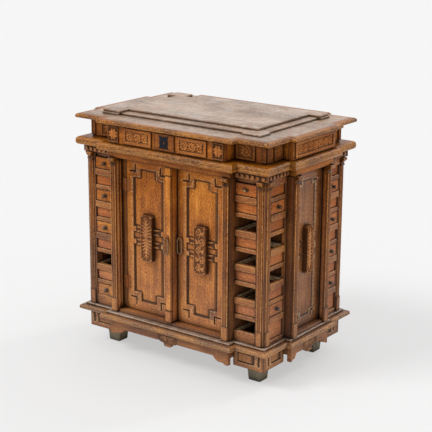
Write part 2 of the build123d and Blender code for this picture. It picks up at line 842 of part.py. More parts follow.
def bail(side):
    """Long narrow ring that hangs in its eye; the middle of its top bend is the pivot."""
    r = bail_bend
    low = -r - bail_straight
    top = ThreePointArc((-r, 0, -r), (0, 0, 0), (r, 0, -r))
    right = Line((r, 0, -r), (r, 0, low))
    bottom = ThreePointArc((r, 0, low), (0, 0, low - r), (-r, 0, low))
    left = Line((-r, 0, low), (-r, 0, -r))
    path = Wire([top, right, bottom, left])
    section = Plane(origin=(r, 0, (low - r) / 2), z_dir=(0, 0, -1)) * Circle(bail_wire)
    return [Pos(*bail_spot(side)) * sweep(section, path=path)]


def bail_mount(side):
    """Oblong plate with a round eye that the bail hangs in."""
    back = bail_stand_off
    plate = board(-bail_plate_half, bail_plate_half, back - bail_plate, back, -9, 9)
    eye = Rot(0, 90, 0) * Cylinder(bail_eye_radius, 2)
    neck = board(-1, 1, 0, back - bail_plate, -bail_eye_radius / 2, bail_eye_radius)
    hole = Rot(0, 90, 0) * Cylinder(bail_eye_hole, 20)
    return [Pos(*bail_spot(side)) * (plate + ((eye + neck) - hole))]


def lock():
    """Escutcheon on the lock block, and the lock case behind the frieze board."""
    middle_z = (frieze_z + lid_z) / 2
    out = -frieze_bay_face - carving_proud
    half = escutcheon_width / 2
    plate = board(-half, half, out - escutcheon_thickness, out, middle_z - escutcheon_height / 2, middle_z + escutcheon_height / 2)
    keyhole = board(-1.5, 1.5, out - 5, out + 5, middle_z - 8, middle_z) + Pos(0, out, middle_z) * (Rot(90, 0, 0) * Cylinder(2.6, 10))
    inner = -frieze_bay_face + frieze_wall
    case = board(-lock_width / 2, lock_width / 2, inner, inner + lock_depth, lid_z - 4 - lock_height, lid_z - 4)
    slot = staple_thickness / 2 + staple_play
    middle = inner + lock_depth / 2
    reach = staple_width / 2 + staple_play
    case -= board(-reach, reach, middle - slot, middle + slot, lid_z - staple_drop - 1, lid_z)
    return [plate - keyhole, case]


def lid_irons():
    """Moving leaves of the lid hinges and the staple that enters the lock."""
    middle = -frieze_bay_face + frieze_wall + lock_depth / 2
    half = staple_thickness / 2
    staple = board(-staple_width / 2, staple_width / 2, middle - half, middle + half, lid_z - staple_drop, lid_z)
    return [Pos(*spot) * lid_leaf(False) for spot in lid_hinge_spots()] + [staple]


# ---------------------------------------------------------------- the cabinet
drawer_nodes = [
    "right_front_drawer_5",
    "left_front_drawer_1",
    "left_front_drawer_3",
    "left_front_drawer_4",
    "left_front_drawer_5",
    "front_right_side_drawer_1",
    "front_right_side_drawer_4",
    "back_right_side_drawer_1",
    "back_right_side_drawer_2",
    "back_right_side_drawer_3",
    "back_right_side_drawer_4",
    "front_left_side_drawer_1",
    "front_left_side_drawer_4",
    "back_left_side_drawer_2",
    "back_left_side_drawer_3",
]


def named_drawer(node):
    """Drawer in the tower, on the face and at the level that its name gives."""
    side = 1 if "right" in node else -1
    level = int(node[-1]) - 1
    if "side" not in node:
        return front_drawer(side, level)
    end = -1 if node.startswith("front") else 1
    return side_drawer(side, end, level)


def main():
    """Build every node and write it."""
    os.makedirs("parts", exist_ok=True)
    corners = [(sx, sy) for sx in (-1, 1) for sy in (-1, 1)]
    save("feet", feet())
    save("plinth", plinth())
    save("aprons", aprons() + apron_brackets())
    save("base_moulding", base_moulding())
    save("corner_posts", corner_posts())
    save("tower_stiles", tower_stiles())
    save("case_walls", case_walls())
    save("bay_posts", bay_posts())
    save("bay_rails", bay_rails())
    save("head_rails", head_rails())
    save("dentils", dentils())
    save("pilasters", on_stations(shaft))
    save("base_blocks", on_stations(base_block))
    save("capitals", on_stations(capital))
    rails, panels = tower_faces()
    save("tower_rails", rails)
    save("tower_panels", panels)
    save("tower_runners", tower_runners())
    frames, panels, frets, bosses = fixed_panels()
    save("fixed_frames", frames)
    save("fixed_panels", panels)
    save("fixed_frets", frets)
    save("fixed_bosses", bosses)
    save("cupboard_shelf", cupboard_shelf())
    save("mid_cornice", [nosed_board(0, cornice_z, cornice_height, 10, 8)])
    save("frieze_boards", frieze_boards())
    save("frieze_carvings", frieze_carvings())
    save("compartment_floor", compartment_floor())
    save("lock", lock())
    save("hinge_leaves", hinge_leaves())
    save("lid_slab", [nosed_board(0, lid_z, lid_slab_height, 7, 4)])
    lower = (lower_tier_x, lower_tier_y, lower_ear_reach_x, lower_ear_reach_y)
    save("lid_lower_tier", [lid_tier(*lower, lower_tier_z, lower_tier_height, corners)])
    upper = (upper_tier_x, upper_tier_y, upper_ear_reach_x, upper_ear_reach_y)
    missing = (1, -1)
    left_on = [corner for corner in corners if corner != missing]
    save("lid_upper_tier", [lid_tier(*upper, upper_tier_z, upper_tier_height, left_on)])
    save("lid_irons", lid_irons())
    for name, side in (("left", -1), ("right", 1)):
        for piece, solids in zip(("frame", "panel", "fret", "boss"), door_pieces(side)):
            save(f"{name}_door_{piece}", solids)
        save(f"{name}_door_irons", door_leaves(side) + bail_mount(side))
        save(f"{name}_bail", bail(side))
    save("astragal", astragal())
    for node in drawer_nodes:
        save(node, named_drawer(node))


main()
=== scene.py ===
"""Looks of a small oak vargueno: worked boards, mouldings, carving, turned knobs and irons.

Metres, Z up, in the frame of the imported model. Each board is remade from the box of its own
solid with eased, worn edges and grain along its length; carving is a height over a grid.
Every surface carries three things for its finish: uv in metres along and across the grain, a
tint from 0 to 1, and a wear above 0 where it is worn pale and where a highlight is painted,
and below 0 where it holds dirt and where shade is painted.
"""
import bpy
import math
import numpy as np
from mathutils import Matrix, Vector


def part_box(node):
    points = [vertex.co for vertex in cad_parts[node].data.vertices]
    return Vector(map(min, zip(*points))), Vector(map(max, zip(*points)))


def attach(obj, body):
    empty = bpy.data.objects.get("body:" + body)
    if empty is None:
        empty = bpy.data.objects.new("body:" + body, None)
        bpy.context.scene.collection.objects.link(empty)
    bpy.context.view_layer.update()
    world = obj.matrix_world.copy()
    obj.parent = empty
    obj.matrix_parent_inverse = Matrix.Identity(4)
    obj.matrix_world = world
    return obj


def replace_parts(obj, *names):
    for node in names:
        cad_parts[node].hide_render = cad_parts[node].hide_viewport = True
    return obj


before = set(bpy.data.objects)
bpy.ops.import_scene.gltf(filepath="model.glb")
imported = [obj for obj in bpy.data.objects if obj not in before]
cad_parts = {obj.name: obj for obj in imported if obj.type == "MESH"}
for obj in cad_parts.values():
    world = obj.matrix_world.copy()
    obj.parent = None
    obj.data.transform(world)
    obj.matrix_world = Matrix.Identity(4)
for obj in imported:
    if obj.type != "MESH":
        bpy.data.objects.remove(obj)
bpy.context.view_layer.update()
MM = 0.001
rng = np.random.default_rng(7)


# ---------------------------------------------------------------- meshes from arrays
def place(name, data):
    """A new object in the scene."""
    thing = bpy.data.objects.new(name, data)
    bpy.context.scene.collection.objects.link(thing)
    return thing


def mesh_object(name, points, quads, body, material, slot, uv, tint, wear_and_painted_light):
    """An object from an (n, 3) array of points and an (m, 4) array of quads.

    uv, tint and wear are given per point.
    """
    mesh = bpy.data.meshes.new(name)
    mesh.vertices.add(len(points))
    mesh.vertices.foreach_set("co", points.astype(np.float32).ravel())
    mesh.loops.add(quads.size)
    mesh.loops.foreach_set("vertex_index", quads.astype(np.int32).ravel())
    mesh.polygons.add(len(quads))
    mesh.polygons.foreach_set("loop_start", np.arange(0, quads.size, 4, dtype=np.int32))
    mesh.update(calc_edges=True)
    mesh.polygons.foreach_set("use_smooth", np.full(len(quads), True))
    layer = mesh.uv_layers.new(name="grain")
    layer.data.foreach_set("uv", uv.astype(np.float32)[quads.ravel()].ravel())
    for label, values in (("tint", tint), ("wear_and_painted_light", wear_and_painted_light)):
        attribute = mesh.attributes.new(label, "FLOAT", "POINT")
        attribute.data.foreach_set("value", values.astype(np.float32))
    mesh.materials.append(material)
    piece = place(name, mesh)
    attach(piece, body)
    return piece


def grid_quads(rows, columns):
    """Quads of a grid of rows by columns, whose normal is across columns times across rows."""
    first = np.arange(rows - 1)[:, None] * columns + np.arange(columns - 1)
    return np.stack([first, first + 1, first + columns + 1, first + columns], -1).reshape(-1, 4)


class Heap:
    """Many surfaces gathered into one piece."""

    def __init__(self):
        self.parts = {"points": [], "quads": [], "uv": [], "tint": [], "wear_and_painted_light": []}
        self.count = 0

    def add(self, points, quads, uv, tint, wear_and_painted_light=0.0):
        """Take one surface in; tint and wear are one number or one per point."""
        self.parts["points"].append(points)
        self.parts["quads"].append(quads + self.count)
        self.parts["uv"].append(uv)
        self.parts["tint"].append(np.broadcast_to(tint, len(points)))
        self.parts["wear_and_painted_light"].append(np.broadcast_to(wear_and_painted_light, len(points)))
        self.count += len(points)

    def sheet(self, points, uv, tint, wear_and_painted_light=0.0, flip=False):
        """Take in a grid of points, with its uv, tint and wear spread over the grid."""
        shape = points.shape[:2]
        quads = grid_quads(*shape)
        tint, wear_and_painted_light = (np.broadcast_to(value, shape).ravel() for value in (tint, wear_and_painted_light))
        self.add(points.reshape(-1, 3), quads[:, ::-1] if flip else quads,
                 uv.reshape(-1, 2), tint, wear_and_painted_light)

    def caps(self, rings, uv, tint, wear_and_painted_light):
        """Close the first and the last of a run of rings, each an even count of points.

        A ring's first point comes again at its end; quads join each point to its opposite.
        """
        count = rings.shape[1] - 1
        left = np.arange(count // 2 - 1)
        quads = np.stack([left, left + 1, count - 2 - left, count - 1 - left], -1)
        self.add(rings[0, :-1], quads[:, ::-1], uv[0, :-1], tint, wear_and_painted_light)
        self.add(rings[-1, :-1], quads, uv[-1, :-1], tint, wear_and_painted_light)

    def build(self, name, body, material, slot):
        """Make the piece."""
        whole = {key: np.concatenate(value) for key, value in self.parts.items()}
        return mesh_object(name, body=body, material=material, slot=slot, **whole)


def pairs(first, second):
    """Two arrays spread over one grid, as pairs."""
    return np.stack(np.broadcast_arrays(first, second), -1)


def run_along(line):
    """Distance of each point of a line from its first, along the line."""
    steps = np.linalg.norm(np.diff(line, axis=0), axis=1)
    return np.concatenate([[0], np.cumsum(steps)])


def grain_start():
    """Where on its plank a board is cut: a random shift of its uv."""
    return rng.random(2) * 3


def solids(node):
    """Lowest and highest corner of each separate solid in a CAD node.

    The triangles of a closed solid follow one another, and each of its edges is used by two of
    them: a solid ends after a triangle that no such pair of uses reaches across.
    """
    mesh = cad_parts[node].data
    points = np.empty(len(mesh.vertices) * 3)
    mesh.vertices.foreach_get("co", points)
    places, index = np.unique(np.round(points.reshape(-1, 3), 6), axis=0, return_inverse=True)
    corners = np.empty(len(mesh.loops), dtype=np.int64)
    mesh.loops.foreach_get("vertex_index", corners)
    corners = index.ravel()[corners].reshape(-1, 3)
    ends = np.sort(pairs(corners, np.roll(corners, -1, axis=1)), axis=-1).reshape(-1, 2)
    edge = ends[:, 0] * len(places) + ends[:, 1]
    owner = np.repeat(np.arange(len(corners)), 3)
    owner = owner[np.lexsort((owner, edge))]
    reach = np.zeros(len(corners), dtype=np.int64)
    np.add.at(reach, owner[0::2], 1)
    np.add.at(reach, owner[1::2], -1)
    closed = np.cumsum(reach) == 0
    group = np.concatenate([[0], np.cumsum(closed[:-1])])
    faces = [places[corners[group == number].ravel()] for number in range(group[-1] + 1)]
    return [(face.min(0), face.max(0)) for face in faces]


# ---------------------------------------------------------------- worked boards
JOINT_GRIME = -0.9            # wear of an edge that meets another board
EDGE_DENT = 0.35 * MM         # deepest dent of a board's edge
DIAGONAL = 0.7                # share of a dent along each of the two sides that meet


def eased_ring(half_b, half_c, ease):
    """Rounded rectangle, anticlockwise: at each corner, an arc of three points between two flat.

    Returns the ring with its first point again at the end, and 1 on the arcs, 0 on the flats.
    """
    flat = ease + min(3 * MM, 0.4 * (min(half_b, half_c) - ease))
    turn = ease * (1 - math.sqrt(0.5))
    offsets = np.array([(0, -flat), (0, -ease), (-turn, -turn), (-ease, 0), (-flat, 0)])
    rings = []
    for sign_b, sign_c in ((1, 1), (-1, 1), (-1, -1), (1, -1)):
        order = offsets if sign_b * sign_c > 0 else offsets[::-1]
        rings.append((order + (half_b, half_c)) * (sign_b, sign_c))
    ring = np.concatenate(rings + [rings[0][:1]])
    return ring, np.append(np.tile([0.0, 1, 1, 1, 0], 4), 0.0)


def worked_board(heap, low, high, ease=0.9 * MM, along=None, edge=JOINT_GRIME):
    """A board between two corners, its eased section carried along its longest side.

    Stations lie about 30 mm apart and at both ends, where the section draws in by the easing.
    The arcs are dented inwards by a random depth at each station, and edge is their wear.
    """
    size = high - low
    axis = int(np.argmax(size)) if along is None else along
    b, c = (axis + 1) % 3, (axis + 2) % 3
    ease = min(ease, 0.3 * min(size[b], size[c]), 0.3 * size[axis])
    half = np.array([size[b] / 2, size[c] / 2])
    ring, on_edge = eased_ring(*half, ease)
    near = min(4 * MM, 0.3 * size[axis])
    middle = np.linspace(near, size[axis] - near, max(2, int(size[axis] / (30 * MM)) + 2))
    stations = np.concatenate([[0, ease], middle, [size[axis] - ease, size[axis]]])
    section = np.broadcast_to(ring, (len(stations),) + ring.shape).copy()
    section[[0, -1]] = ring * (1 - ease / half)
    depth = rng.random((len(stations), len(ring))) * on_edge * EDGE_DENT
    depth[:, -1] = depth[:, 0]
    section -= DIAGONAL * depth[..., None] * np.sign(section)
    points = np.empty(section.shape[:2] + (3,))
    points[..., axis] = low[axis] + stations[:, None]
    points[..., [b, c]] = ((low + high) / 2)[[b, c]] + section
    shift = grain_start()
    uv = pairs(stations[:, None] + shift[0], run_along(ring) + shift[1])
    tint = rng.random()
    wear_and_painted_light = np.broadcast_to(on_edge * edge, points.shape[:2]).copy()
    wear_and_painted_light[[0, 1, -2, -1]] = edge
    heap.sheet(points, uv, tint, wear_and_painted_light)
    heap.caps(points, points[..., [b, c]] * (0.15, 1) + shift, tint, 0.3 * edge)


def piece_of(node, name, body, material, slot, work, **settings):
    """Every solid of a CAD node worked by a function, in one piece that replaces the node."""
    heap = Heap()
    for low, high in solids(node):
        work(heap, low, high, **settings)
    piece = heap.build(name, body, material, slot)
    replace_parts(piece, node)


def board_piece(node, body, material, slot, **settings):
    """The same with worked boards."""
    piece_of(node, f"{node}_worked", body, material, slot, worked_board, **settings)


# ---------------------------------------------------------------- finishes
class Finish:
    """The nodes of a material or of the world, with short ways to make, join and mix them."""

    def __init__(self, owner, shader="Principled BSDF"):
        owner.use_nodes = True
        self.tree = owner.node_tree
        self.shader = self.tree.nodes[shader]

    def feed(self, node, inputs):
        """Join each named input to an output, or set it to a number or a colour."""
        for key, value in inputs.items():
            socket = node.inputs[key]
            if isinstance(value, bpy.types.NodeSocket):
                self.tree.links.new(value, socket)
            else:
                socket.default_value = (*value, 1) if socket.type == "RGBA" else value

    def make(self, kind, output, inputs=(), **settings):
        """A node with its settings and inputs; gives back one of its outputs."""
        node = self.tree.nodes.new(f"ShaderNode{kind}")
        for key, value in settings.items():
            setattr(node, key, value)
        self.feed(node, dict(inputs))
        return node.outputs[output]

    def space(self):
        """Metres in the frame of the cabinet."""
        return self.make("TexCoord", "Object")

    def noise(self, vector, scale, detail, rough, stretch=(1, 1, 1)):
        """Noise value on a vector, stretched per axis."""
        vector = self.make("Mapping", "Vector", {"Scale": stretch, "Vector": vector})
        inputs = {"Scale": scale, "Detail": detail, "Roughness": rough, "Vector": vector}
        return self.make("TexNoise", "Fac", inputs)

    def ramp(self, value, *stops):
        """Colour ramp over a value; stops are (position, grey or colour)."""
        colour = self.make("ValToRGB", "Color", {"Fac": value})
        elements = colour.node.color_ramp.elements
        while len(elements) < len(stops):
            elements.new(0.5)
        for element, (position, shade) in zip(elements, stops):
            element.position = position
            element.color = (*shade, 1) if isinstance(shade, tuple) else (shade, shade, shade, 1)
        return colour

    def blend(self, mode, factor, first, second):
        """Mix of two colours."""
        return self.make("Mix", 2, {0: factor, 6: first, 7: second},
                         data_type="RGBA", blend_type=mode)

    def maths(self, operation, first, second):
        """One sum on two values, each an output or a number."""
        return self.make("Math", "Value", {0: first, 1: second}, operation=operation)

    def times(self, first, second):
        """Product of two values."""
        return self.maths("MULTIPLY", first, second)

    def total(self, first, *others):
        """Sum of several values."""
        for other in others:
            first = self.maths("ADD", first, other)
        return first

    def bump(self, height, strength, distance):
        """Tilt the shader's normal by a height."""
        inputs = {"Strength": strength, "Distance": distance, "Height": height}
        self.feed(self.shader, {"Normal": self.make("Bump", "Normal", inputs)})


# dark colour for dirt at joints and for painted shade at the feet of steps, in grooves and on block
# sides
GRIME_AND_SHADE = (0.030, 0.012, 0.005)
HOLLOW = (0.05, 0.025, 0.012)      # a closed corner's share of the light
PALER_NEAR_FLOOR = (0.05, 0.15, 0.17)         # paler and greyer colour added towards the floor
# pale colour of the painted sheen
PAINTED_SHEEN = (0.70, 0.63, 0.56)


def oak(name, deep, middle, light, worn, hollow_shade=0.9, rough=0.5, shine=0.25, pale=0.4, lively=1.0,
        chips=0.46, painted_sheen=0.0):
    """Waxed oak: long soft figure, fine streaks, short flecks and dark pores along the grain.

    deep, middle and light are its colours, and worn the colour of edges worn pale, which painted
    highlights use too. Where the wear is below 0 the colour goes towards dirt and painted shade,
    and gloomy is how dark the painted shade of ambient occlusion makes hollows; pale is how far
    the colour goes paler and greyer towards the floor, lively how far its tone swings, chips how
    sparse the worn spots are and bloom how much painted pale sheen lies on it in patches.
    """
    material = bpy.data.materials.new(name)
    mix = Finish(material)
    space = mix.space()
    grain = mix.make("UVMap", "UV", uv_map="grain")
    tint, wear_and_painted_light = (mix.make("Attribute", "Fac", attribute_name=label) for label in ("tint", "wear_and_painted_light"))
    figure = mix.noise(grain, 1.0, 5, 0.6, (8, 70, 1))
    streak = mix.noise(grain, 1.0, 6, 0.7, (24, 560, 1))
    flecks = mix.noise(grain, 1.0, 3, 0.7, (150, 420, 1))
    pores = mix.noise(grain, 1.0, 2, 0.5, (140, 1900, 1))
    cloud = mix.noise(space, 9.0, 4, 0.6)
    swings = [mix.times(mix.maths("SUBTRACT", value, 0.5), reach * lively) for value, reach in
              ((figure, 0.6), (streak, 0.5), (flecks, 1.15), (cloud, 0.65))]
    tone = mix.total(0.42, *swings, mix.times(tint, 0.16))
    colour = mix.ramp(tone, (0.12, deep), (0.5, middle), (0.86, light))
    level = mix.make("SeparateXYZ", "Z", {"Vector": space})
    low = mix.make("MapRange", "Result", {"Value": level, "From Min": 0.50, "From Max": 0.10})
    lighter = mix.blend("ADD", 1.0, colour, PALER_NEAR_FLOOR)
    colour = mix.blend("MIX", mix.times(low, pale), colour, lighter)
    colour = mix.blend("MULTIPLY", 0.7, colour, mix.ramp(pores, (0.3, 0.3), (0.42, 1.0)))
    spots = mix.ramp(mix.noise(space, 230.0, 4, 0.75), (chips, 0.0), (chips + 0.14, 1.0))
    rub_and_painted_light = mix.maths("MAXIMUM", mix.times(mix.times(wear_and_painted_light, spots), 0.8), 0.0)
    colour = mix.blend("MIX", rub_and_painted_light, colour, worn)
    # painted sheen: pale patches that stand in for glossy reflections
    if painted_sheen:
        fine, wide = mix.noise(space, 45.0, 6, 0.75), mix.noise(space, 7.0, 3, 0.6)
        sheen_pattern = mix.total(mix.times(fine, 0.6), mix.times(wide, 0.4))
        share = mix.times(mix.ramp(sheen_pattern, (0.44, 0.0), (0.60, 1.0)), painted_sheen)
        colour = mix.blend("MIX", share, colour, PAINTED_SHEEN)
    # where the wear is below 0 the colour goes towards the dark colour above: dirt, and painted
    # shade
    foot = mix.maths("MAXIMUM", mix.times(wear_and_painted_light, -0.85), 0.0)
    colour = mix.blend("MIX", foot, colour, GRIME_AND_SHADE)
    # painted shade: ambient occlusion darkens the colour in hollows, corners and under overhangs
    closed = mix.make("AmbientOcclusion", "AO", {"Distance": 24 * MM}, samples=8)
    colour = mix.blend("MULTIPLY", hollow_shade, colour, mix.ramp(closed, (0.3, HOLLOW), (0.9, 1.0)))
    gloss = mix.ramp(streak, (0.3, rough + 0.14), (0.7, rough - 0.1))
    mix.feed(mix.shader, {"Base Color": colour, "Roughness": gloss, "Specular IOR Level": shine})
    mix.bump(mix.total(streak, mix.times(pores, 0.7), flecks), 0.5, 0.5 * MM)
    return material


def iron(name, colour, rough, metal=0.85):
    """Dark forged metal: mottled tone and roughness, small dents."""
    material = bpy.data.materials.new(name)
    mix = Finish(material)
    patch = mix.noise(mix.space(), 220.0, 5, 0.65)
    tone = mix.ramp(patch, *((position, tuple(share * part for part in colour))
                             for position, share in ((0.3, 0.5), (0.5, 1.0), (0.75, 1.9))))
    gloss = mix.ramp(patch, (0.3, rough + 0.15), (0.7, rough - 0.1))
    mix.feed(mix.shader, {"Base Color": tone, "Roughness": gloss, "Metallic": metal})
    mix.bump(patch, 0.4, 0.4 * MM)
    return material


CASE_OAK = oak("case_oak", (0.10, 0.022, 0.003), (0.46, 0.13, 0.010), (0.80, 0.315, 0.045),
               (0.78, 0.46, 0.20), shine=0.2, lively=1.25)
# darker copy of the case oak, painted shade for the posts, stiles, rails, dentils, plinth and
# aprons
SHADED_POST_OAK = oak("shaded_post_oak", (0.07, 0.016, 0.003), (0.32, 0.094, 0.011), (0.58, 0.23, 0.045),
               (0.84, 0.52, 0.24), rough=0.42, shine=0.35, pale=0.22, lively=1.3)
NOSE_OAK = oak("nose_oak", (0.06, 0.015, 0.002), (0.27, 0.08, 0.005), (0.51, 0.185, 0.018),
               (0.95, 0.60, 0.24), 0.7, rough=0.30, shine=0.24, pale=0.3, lively=1.9, chips=0.5)
CARVED_OAK = oak("carved_oak", (0.15, 0.03, 0.004), (0.46, 0.142, 0.021), (0.72, 0.285, 0.075),
                 (0.88, 0.49, 0.19), 0.7, shine=0.15, lively=1.2)
# darker copy of the oak, painted shade for the side and back panels, which face away from the light
SHADED_SIDE_OAK = oak("shaded_side_oak", (0.06, 0.016, 0.003), (0.27, 0.085, 0.015), (0.48, 0.20, 0.052),
               (0.98, 0.66, 0.38), rough=0.34, shine=0.45, pale=0.1, lively=1.25)
# darker copy of the oak, painted shade for the case walls set back in the corners
SHADED_CORNER_OAK = oak("shaded_corner_oak", (0.03, 0.009, 0.002), (0.155, 0.045, 0.008), (0.37, 0.14, 0.032),
                 (0.5, 0.25, 0.1), shine=0.2, pale=0.15)
RED_OAK = oak("red_oak", (0.16, 0.03, 0.004), (0.46, 0.12, 0.015), (0.68, 0.24, 0.05),
              (0.60, 0.34, 0.15), lively=1.4)
TOP_OAK = oak("top_oak", (0.11, 0.055, 0.027), (0.31, 0.18, 0.11), (0.52, 0.35, 0.24),
              (0.74, 0.40, 0.15), 0.6, rough=0.34, shine=0.5, pale=0.0, lively=1.8, painted_sheen=0.36)
INNER_OAK = oak("inner_oak", (0.12, 0.06, 0.025), (0.36, 0.21, 0.10), (0.60, 0.41, 0.23),
                (0.95, 0.80, 0.52), 0.5, rough=0.7, pale=0.15)
FOOT_OAK = oak("foot_oak", (0.07, 0.045, 0.02), (0.24, 0.155, 0.075), (0.42, 0.31, 0.17),
               (0.52, 0.42, 0.27), rough=0.6)
KNOB_WOOD = oak("knob_wood", (0.03, 0.013, 0.005), (0.11, 0.042, 0.013), (0.24, 0.11, 0.04),
                (0.32, 0.18, 0.09), rough=0.4)
DARK_IRON = iron("dark_iron", (0.30, 0.095, 0.018), 0.5, 0.1)
BAIL_BRONZE = iron("bail_bronze", (0.24, 0.15, 0.08), 0.42)
LOCK_IRON = iron("lock_iron", (0.013, 0.013, 0.019), 0.45)
OLD_BRASS = iron("old_brass", (0.32, 0.23, 0.10), 0.4)


# ---------------------------------------------------------------- mouldings and plates
BAY_EDGE = np.array([0.227, 0.236])       # corner of the bay's nose, front and back
TOWER_EDGE = np.array([0.323, 0.213])
SIDE_EDGE = np.array([0.339, 0.115])
BOSS_Z = 0.344                            # middle height of the doors
BASE_NOSE = (98 * MM, 112 * MM)           # heights of the underside and the top
BASE_STEP = (112 * MM, 118 * MM)
CORNICE = (581 * MM, 604 * MM)
LID_SLAB = (656 * MM, 668 * MM)
LOWER_TIER = (668 * MM, 674 * MM)
UPPER_TIER = (674 * MM, 681 * MM)
APRON_Z = 70 * MM                         # lower edge of the aprons' straight boards


def mirrored(quarter):
    """Closed outline, anticlockwise, from the points of its first quarter."""
    quarter = np.asarray(quarter, dtype=float)
    return np.concatenate([quarter, (quarter * (-1, 1))[::-1], -quarter, (quarter * (1, -1))[::-1]])


def plan():
    """Outline of the long mouldings: four towers and the bays that step out between them."""
    (bx, by), (tx, ty), (sx, sy) = BAY_EDGE, TOWER_EDGE, SIDE_EDGE
    return mirrored([(sx, sy), (tx, sy), (tx, ty), (bx, ty), (bx, by)])


def inset_outline(outline, inset):
    """The outline drawn in: each corner moves along the sum of its two sides' inward normals.

    Returns the normals of the sides too.
    """
    along = np.roll(outline, -1, axis=0) - outline
    along /= np.linalg.norm(along, axis=1)[:, None]
    inward = pairs(-along[:, 1], along[:, 0])
    return outline + inset * (inward + np.roll(inward, 1, axis=0)), inward


def flat_face(heap, outline, z, up, tint, plank, seed):
    """Level face inside a square-cornered outline, cut into cells at its corners and plank joints.

    A cell counts when a line from its middle crosses the outline's upright sides an odd number
    of times. Each plank has its own shade, which follows a sine of its number and the seed.
    """
    xs = np.unique(np.round(outline[:, 0], 6))
    deep = outline[:, 1]
    joints = np.arange(math.ceil(deep.min() / plank), deep.max() / plank) * plank
    ys = np.unique(np.round(np.concatenate([deep, joints]), 6))
    after = np.roll(outline, -1, axis=0)
    upright = np.abs(outline[:, 0] - after[:, 0]) < 1e-9
    side_x = outline[upright, 0]
    side_low = np.minimum(outline[upright, 1], after[upright, 1])
    side_high = np.maximum(outline[upright, 1], after[upright, 1])
    for x0, x1 in zip(xs[:-1], xs[1:]):
        for y0, y1 in zip(ys[:-1], ys[1:]):
            x, y = (x0 + x1) / 2, (y0 + y1) / 2
            crossed = (side_x > x) & (side_low < y) & (side_high > y)
            if crossed.sum() % 2 == 0:
                continue
            columns = max(2, int((x1 - x0) / (40 * MM)) + 1)
            gx, gy = np.meshgrid(np.linspace(x0, x1, columns), np.linspace(y0, y1, 3))
            board = math.floor(y / plank + 1e-6)
            shade = tint + 0.35 * math.sin(board * 2.4 + seed)
            uv = pairs(gx + board * 0.37 + seed, gy + board * 0.11)
            heap.sheet(np.stack([gx, gy, np.full_like(gx, z)], -1), uv, shade, flip=not up)


def moulded_plate(heap, outline, profile, tint, rub, plank=1.0, faces=None, foot=None):
    """A plate whose edge follows a profile of (inset, height) points, from its underside up.

    Its edge goes to one heap and its level faces to faces, which is the same heap if not given.
    foot is the wear of its two lowest rows, where they differ from the rest; below 0 it paints a
    line of shade along the foot of the edge.

    Each side is a strip with mitred ends; its outermost points are dented inwards by a random
    cube times rub, less near the ends.
    """
    rings = np.stack([inset_outline(outline, inset)[0] for inset in profile[:, 0]])
    inward = inset_outline(outline, 0.0)[1]
    steps = run_along(profile)
    bulge = 1 - profile[:, 0] / max(profile[:, 0].max(), 1e-6)
    for corner in range(len(outline)):
        start = rings[:, corner]
        end = rings[:, (corner + 1) % len(outline)]
        length = np.linalg.norm(end[0] - start[0])
        count = max(3, int(length / (9 * MM)))
        t = np.linspace(0, 1, count)
        flat = start[:, None] * (1 - t[None, :, None]) + end[:, None] * t[None, :, None]
        calm = np.clip(np.minimum(t, 1 - t) * length / (12 * MM), 0, 1)
        dent = rng.random((len(profile), count)) ** 3 * rub * bulge[:, None] ** 0.5 * calm
        flat = flat + inward[corner] * dent[..., None]
        height = np.broadcast_to(profile[:, 1:], dent.shape)
        shift = grain_start()
        wear_and_painted_light = np.repeat(0.6 * bulge[:, None] ** 2 - 0.1, count, axis=1)
        # a foot below 0 paints a line of shade along the foot of the edge
        if foot is not None:
            wear_and_painted_light[:2] = foot
        shade = tint + 0.12 * (rng.random() - 0.5)
        heap.sheet(np.concatenate([flat, height[..., None]], -1),
                   pairs(t * length + shift[0], steps[:, None] + shift[1]), shade, wear_and_painted_light)
    for row, up in ((0, False), (-1, True)):
        flat_face(faces or heap, rings[row], profile[row, 1], up, tint, plank, rng.random() * 6)


def quarter_round(radius, z, up, count):
    """Quarter circle as (inset, height) points: up to a top at z, or else up from a z."""
    turn = np.linspace(0, math.pi / 2, count)
    if up:
        return pairs(radius * (1 - np.cos(turn)), z - radius * (1 - np.sin(turn)))
    return pairs(radius * (1 - np.sin(turn)), z + radius * (1 - np.cos(turn)))


def nose(levels, low_radius, high_radius, lip=0.0, flat=6 * MM):
    """Rounded edge: a quarter circle below, a short flat and a quarter circle above.

    lip cuts a small square step under the upper round; flat is how far the top goes inwards.
    """
    z0, z1 = levels
    below = quarter_round(low_radius, z0, False, 7)
    above = quarter_round(high_radius, z1, True, 7)
    start = [(low_radius + 6 * MM, z0)]
    if lip:
        z = above[0, 1]
        step = [(0, z - 2 * lip), (lip, z - 2 * lip), (lip, z - lip), (0, z - lip)]
        below = np.concatenate([below, step])
    return np.concatenate([start, below, above, [(high_radius + flat, z1)]])


def eased_edge(levels, ease):
    """Upright edge of a thin plate with its top rounded."""
    z0, z1 = levels
    above = quarter_round(ease, z1, True, 5)
    return np.concatenate([[(6 * MM, z0), (0, z0)], above, [(ease + 0.8 * MM, z1)]])


def base_mouldings():
    """Round-nosed base board and the stepped tier on it."""
    heap = Heap()
    moulded_plate(heap, plan(), nose(BASE_NOSE, 5 * MM, 7 * MM), 0.5, 0.9 * MM)
    tier = inset_outline(plan(), 14 * MM)[0]
    step = Heap()
    # the step takes the top's oak with its painted sheen, and its foot a painted line of shade
    moulded_plate(step, tier, eased_edge(BASE_STEP, 2 * MM), 0.35, 0.6 * MM, foot=-0.9)
    step.build("base_step", "case", TOP_OAK, "oak")
    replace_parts(heap.build("base_nose", "case", NOSE_OAK, "oak"), "base_moulding")


def cornice():
    """Nose between the case and the frieze."""
    heap = Heap()
    moulded_plate(heap, plan(), nose(CORNICE, 8 * MM, 10 * MM, 0.8 * MM), 0.55, 1.1 * MM)
    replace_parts(heap.build("cornice_nose", "case", NOSE_OAK, "oak"), "mid_cornice")


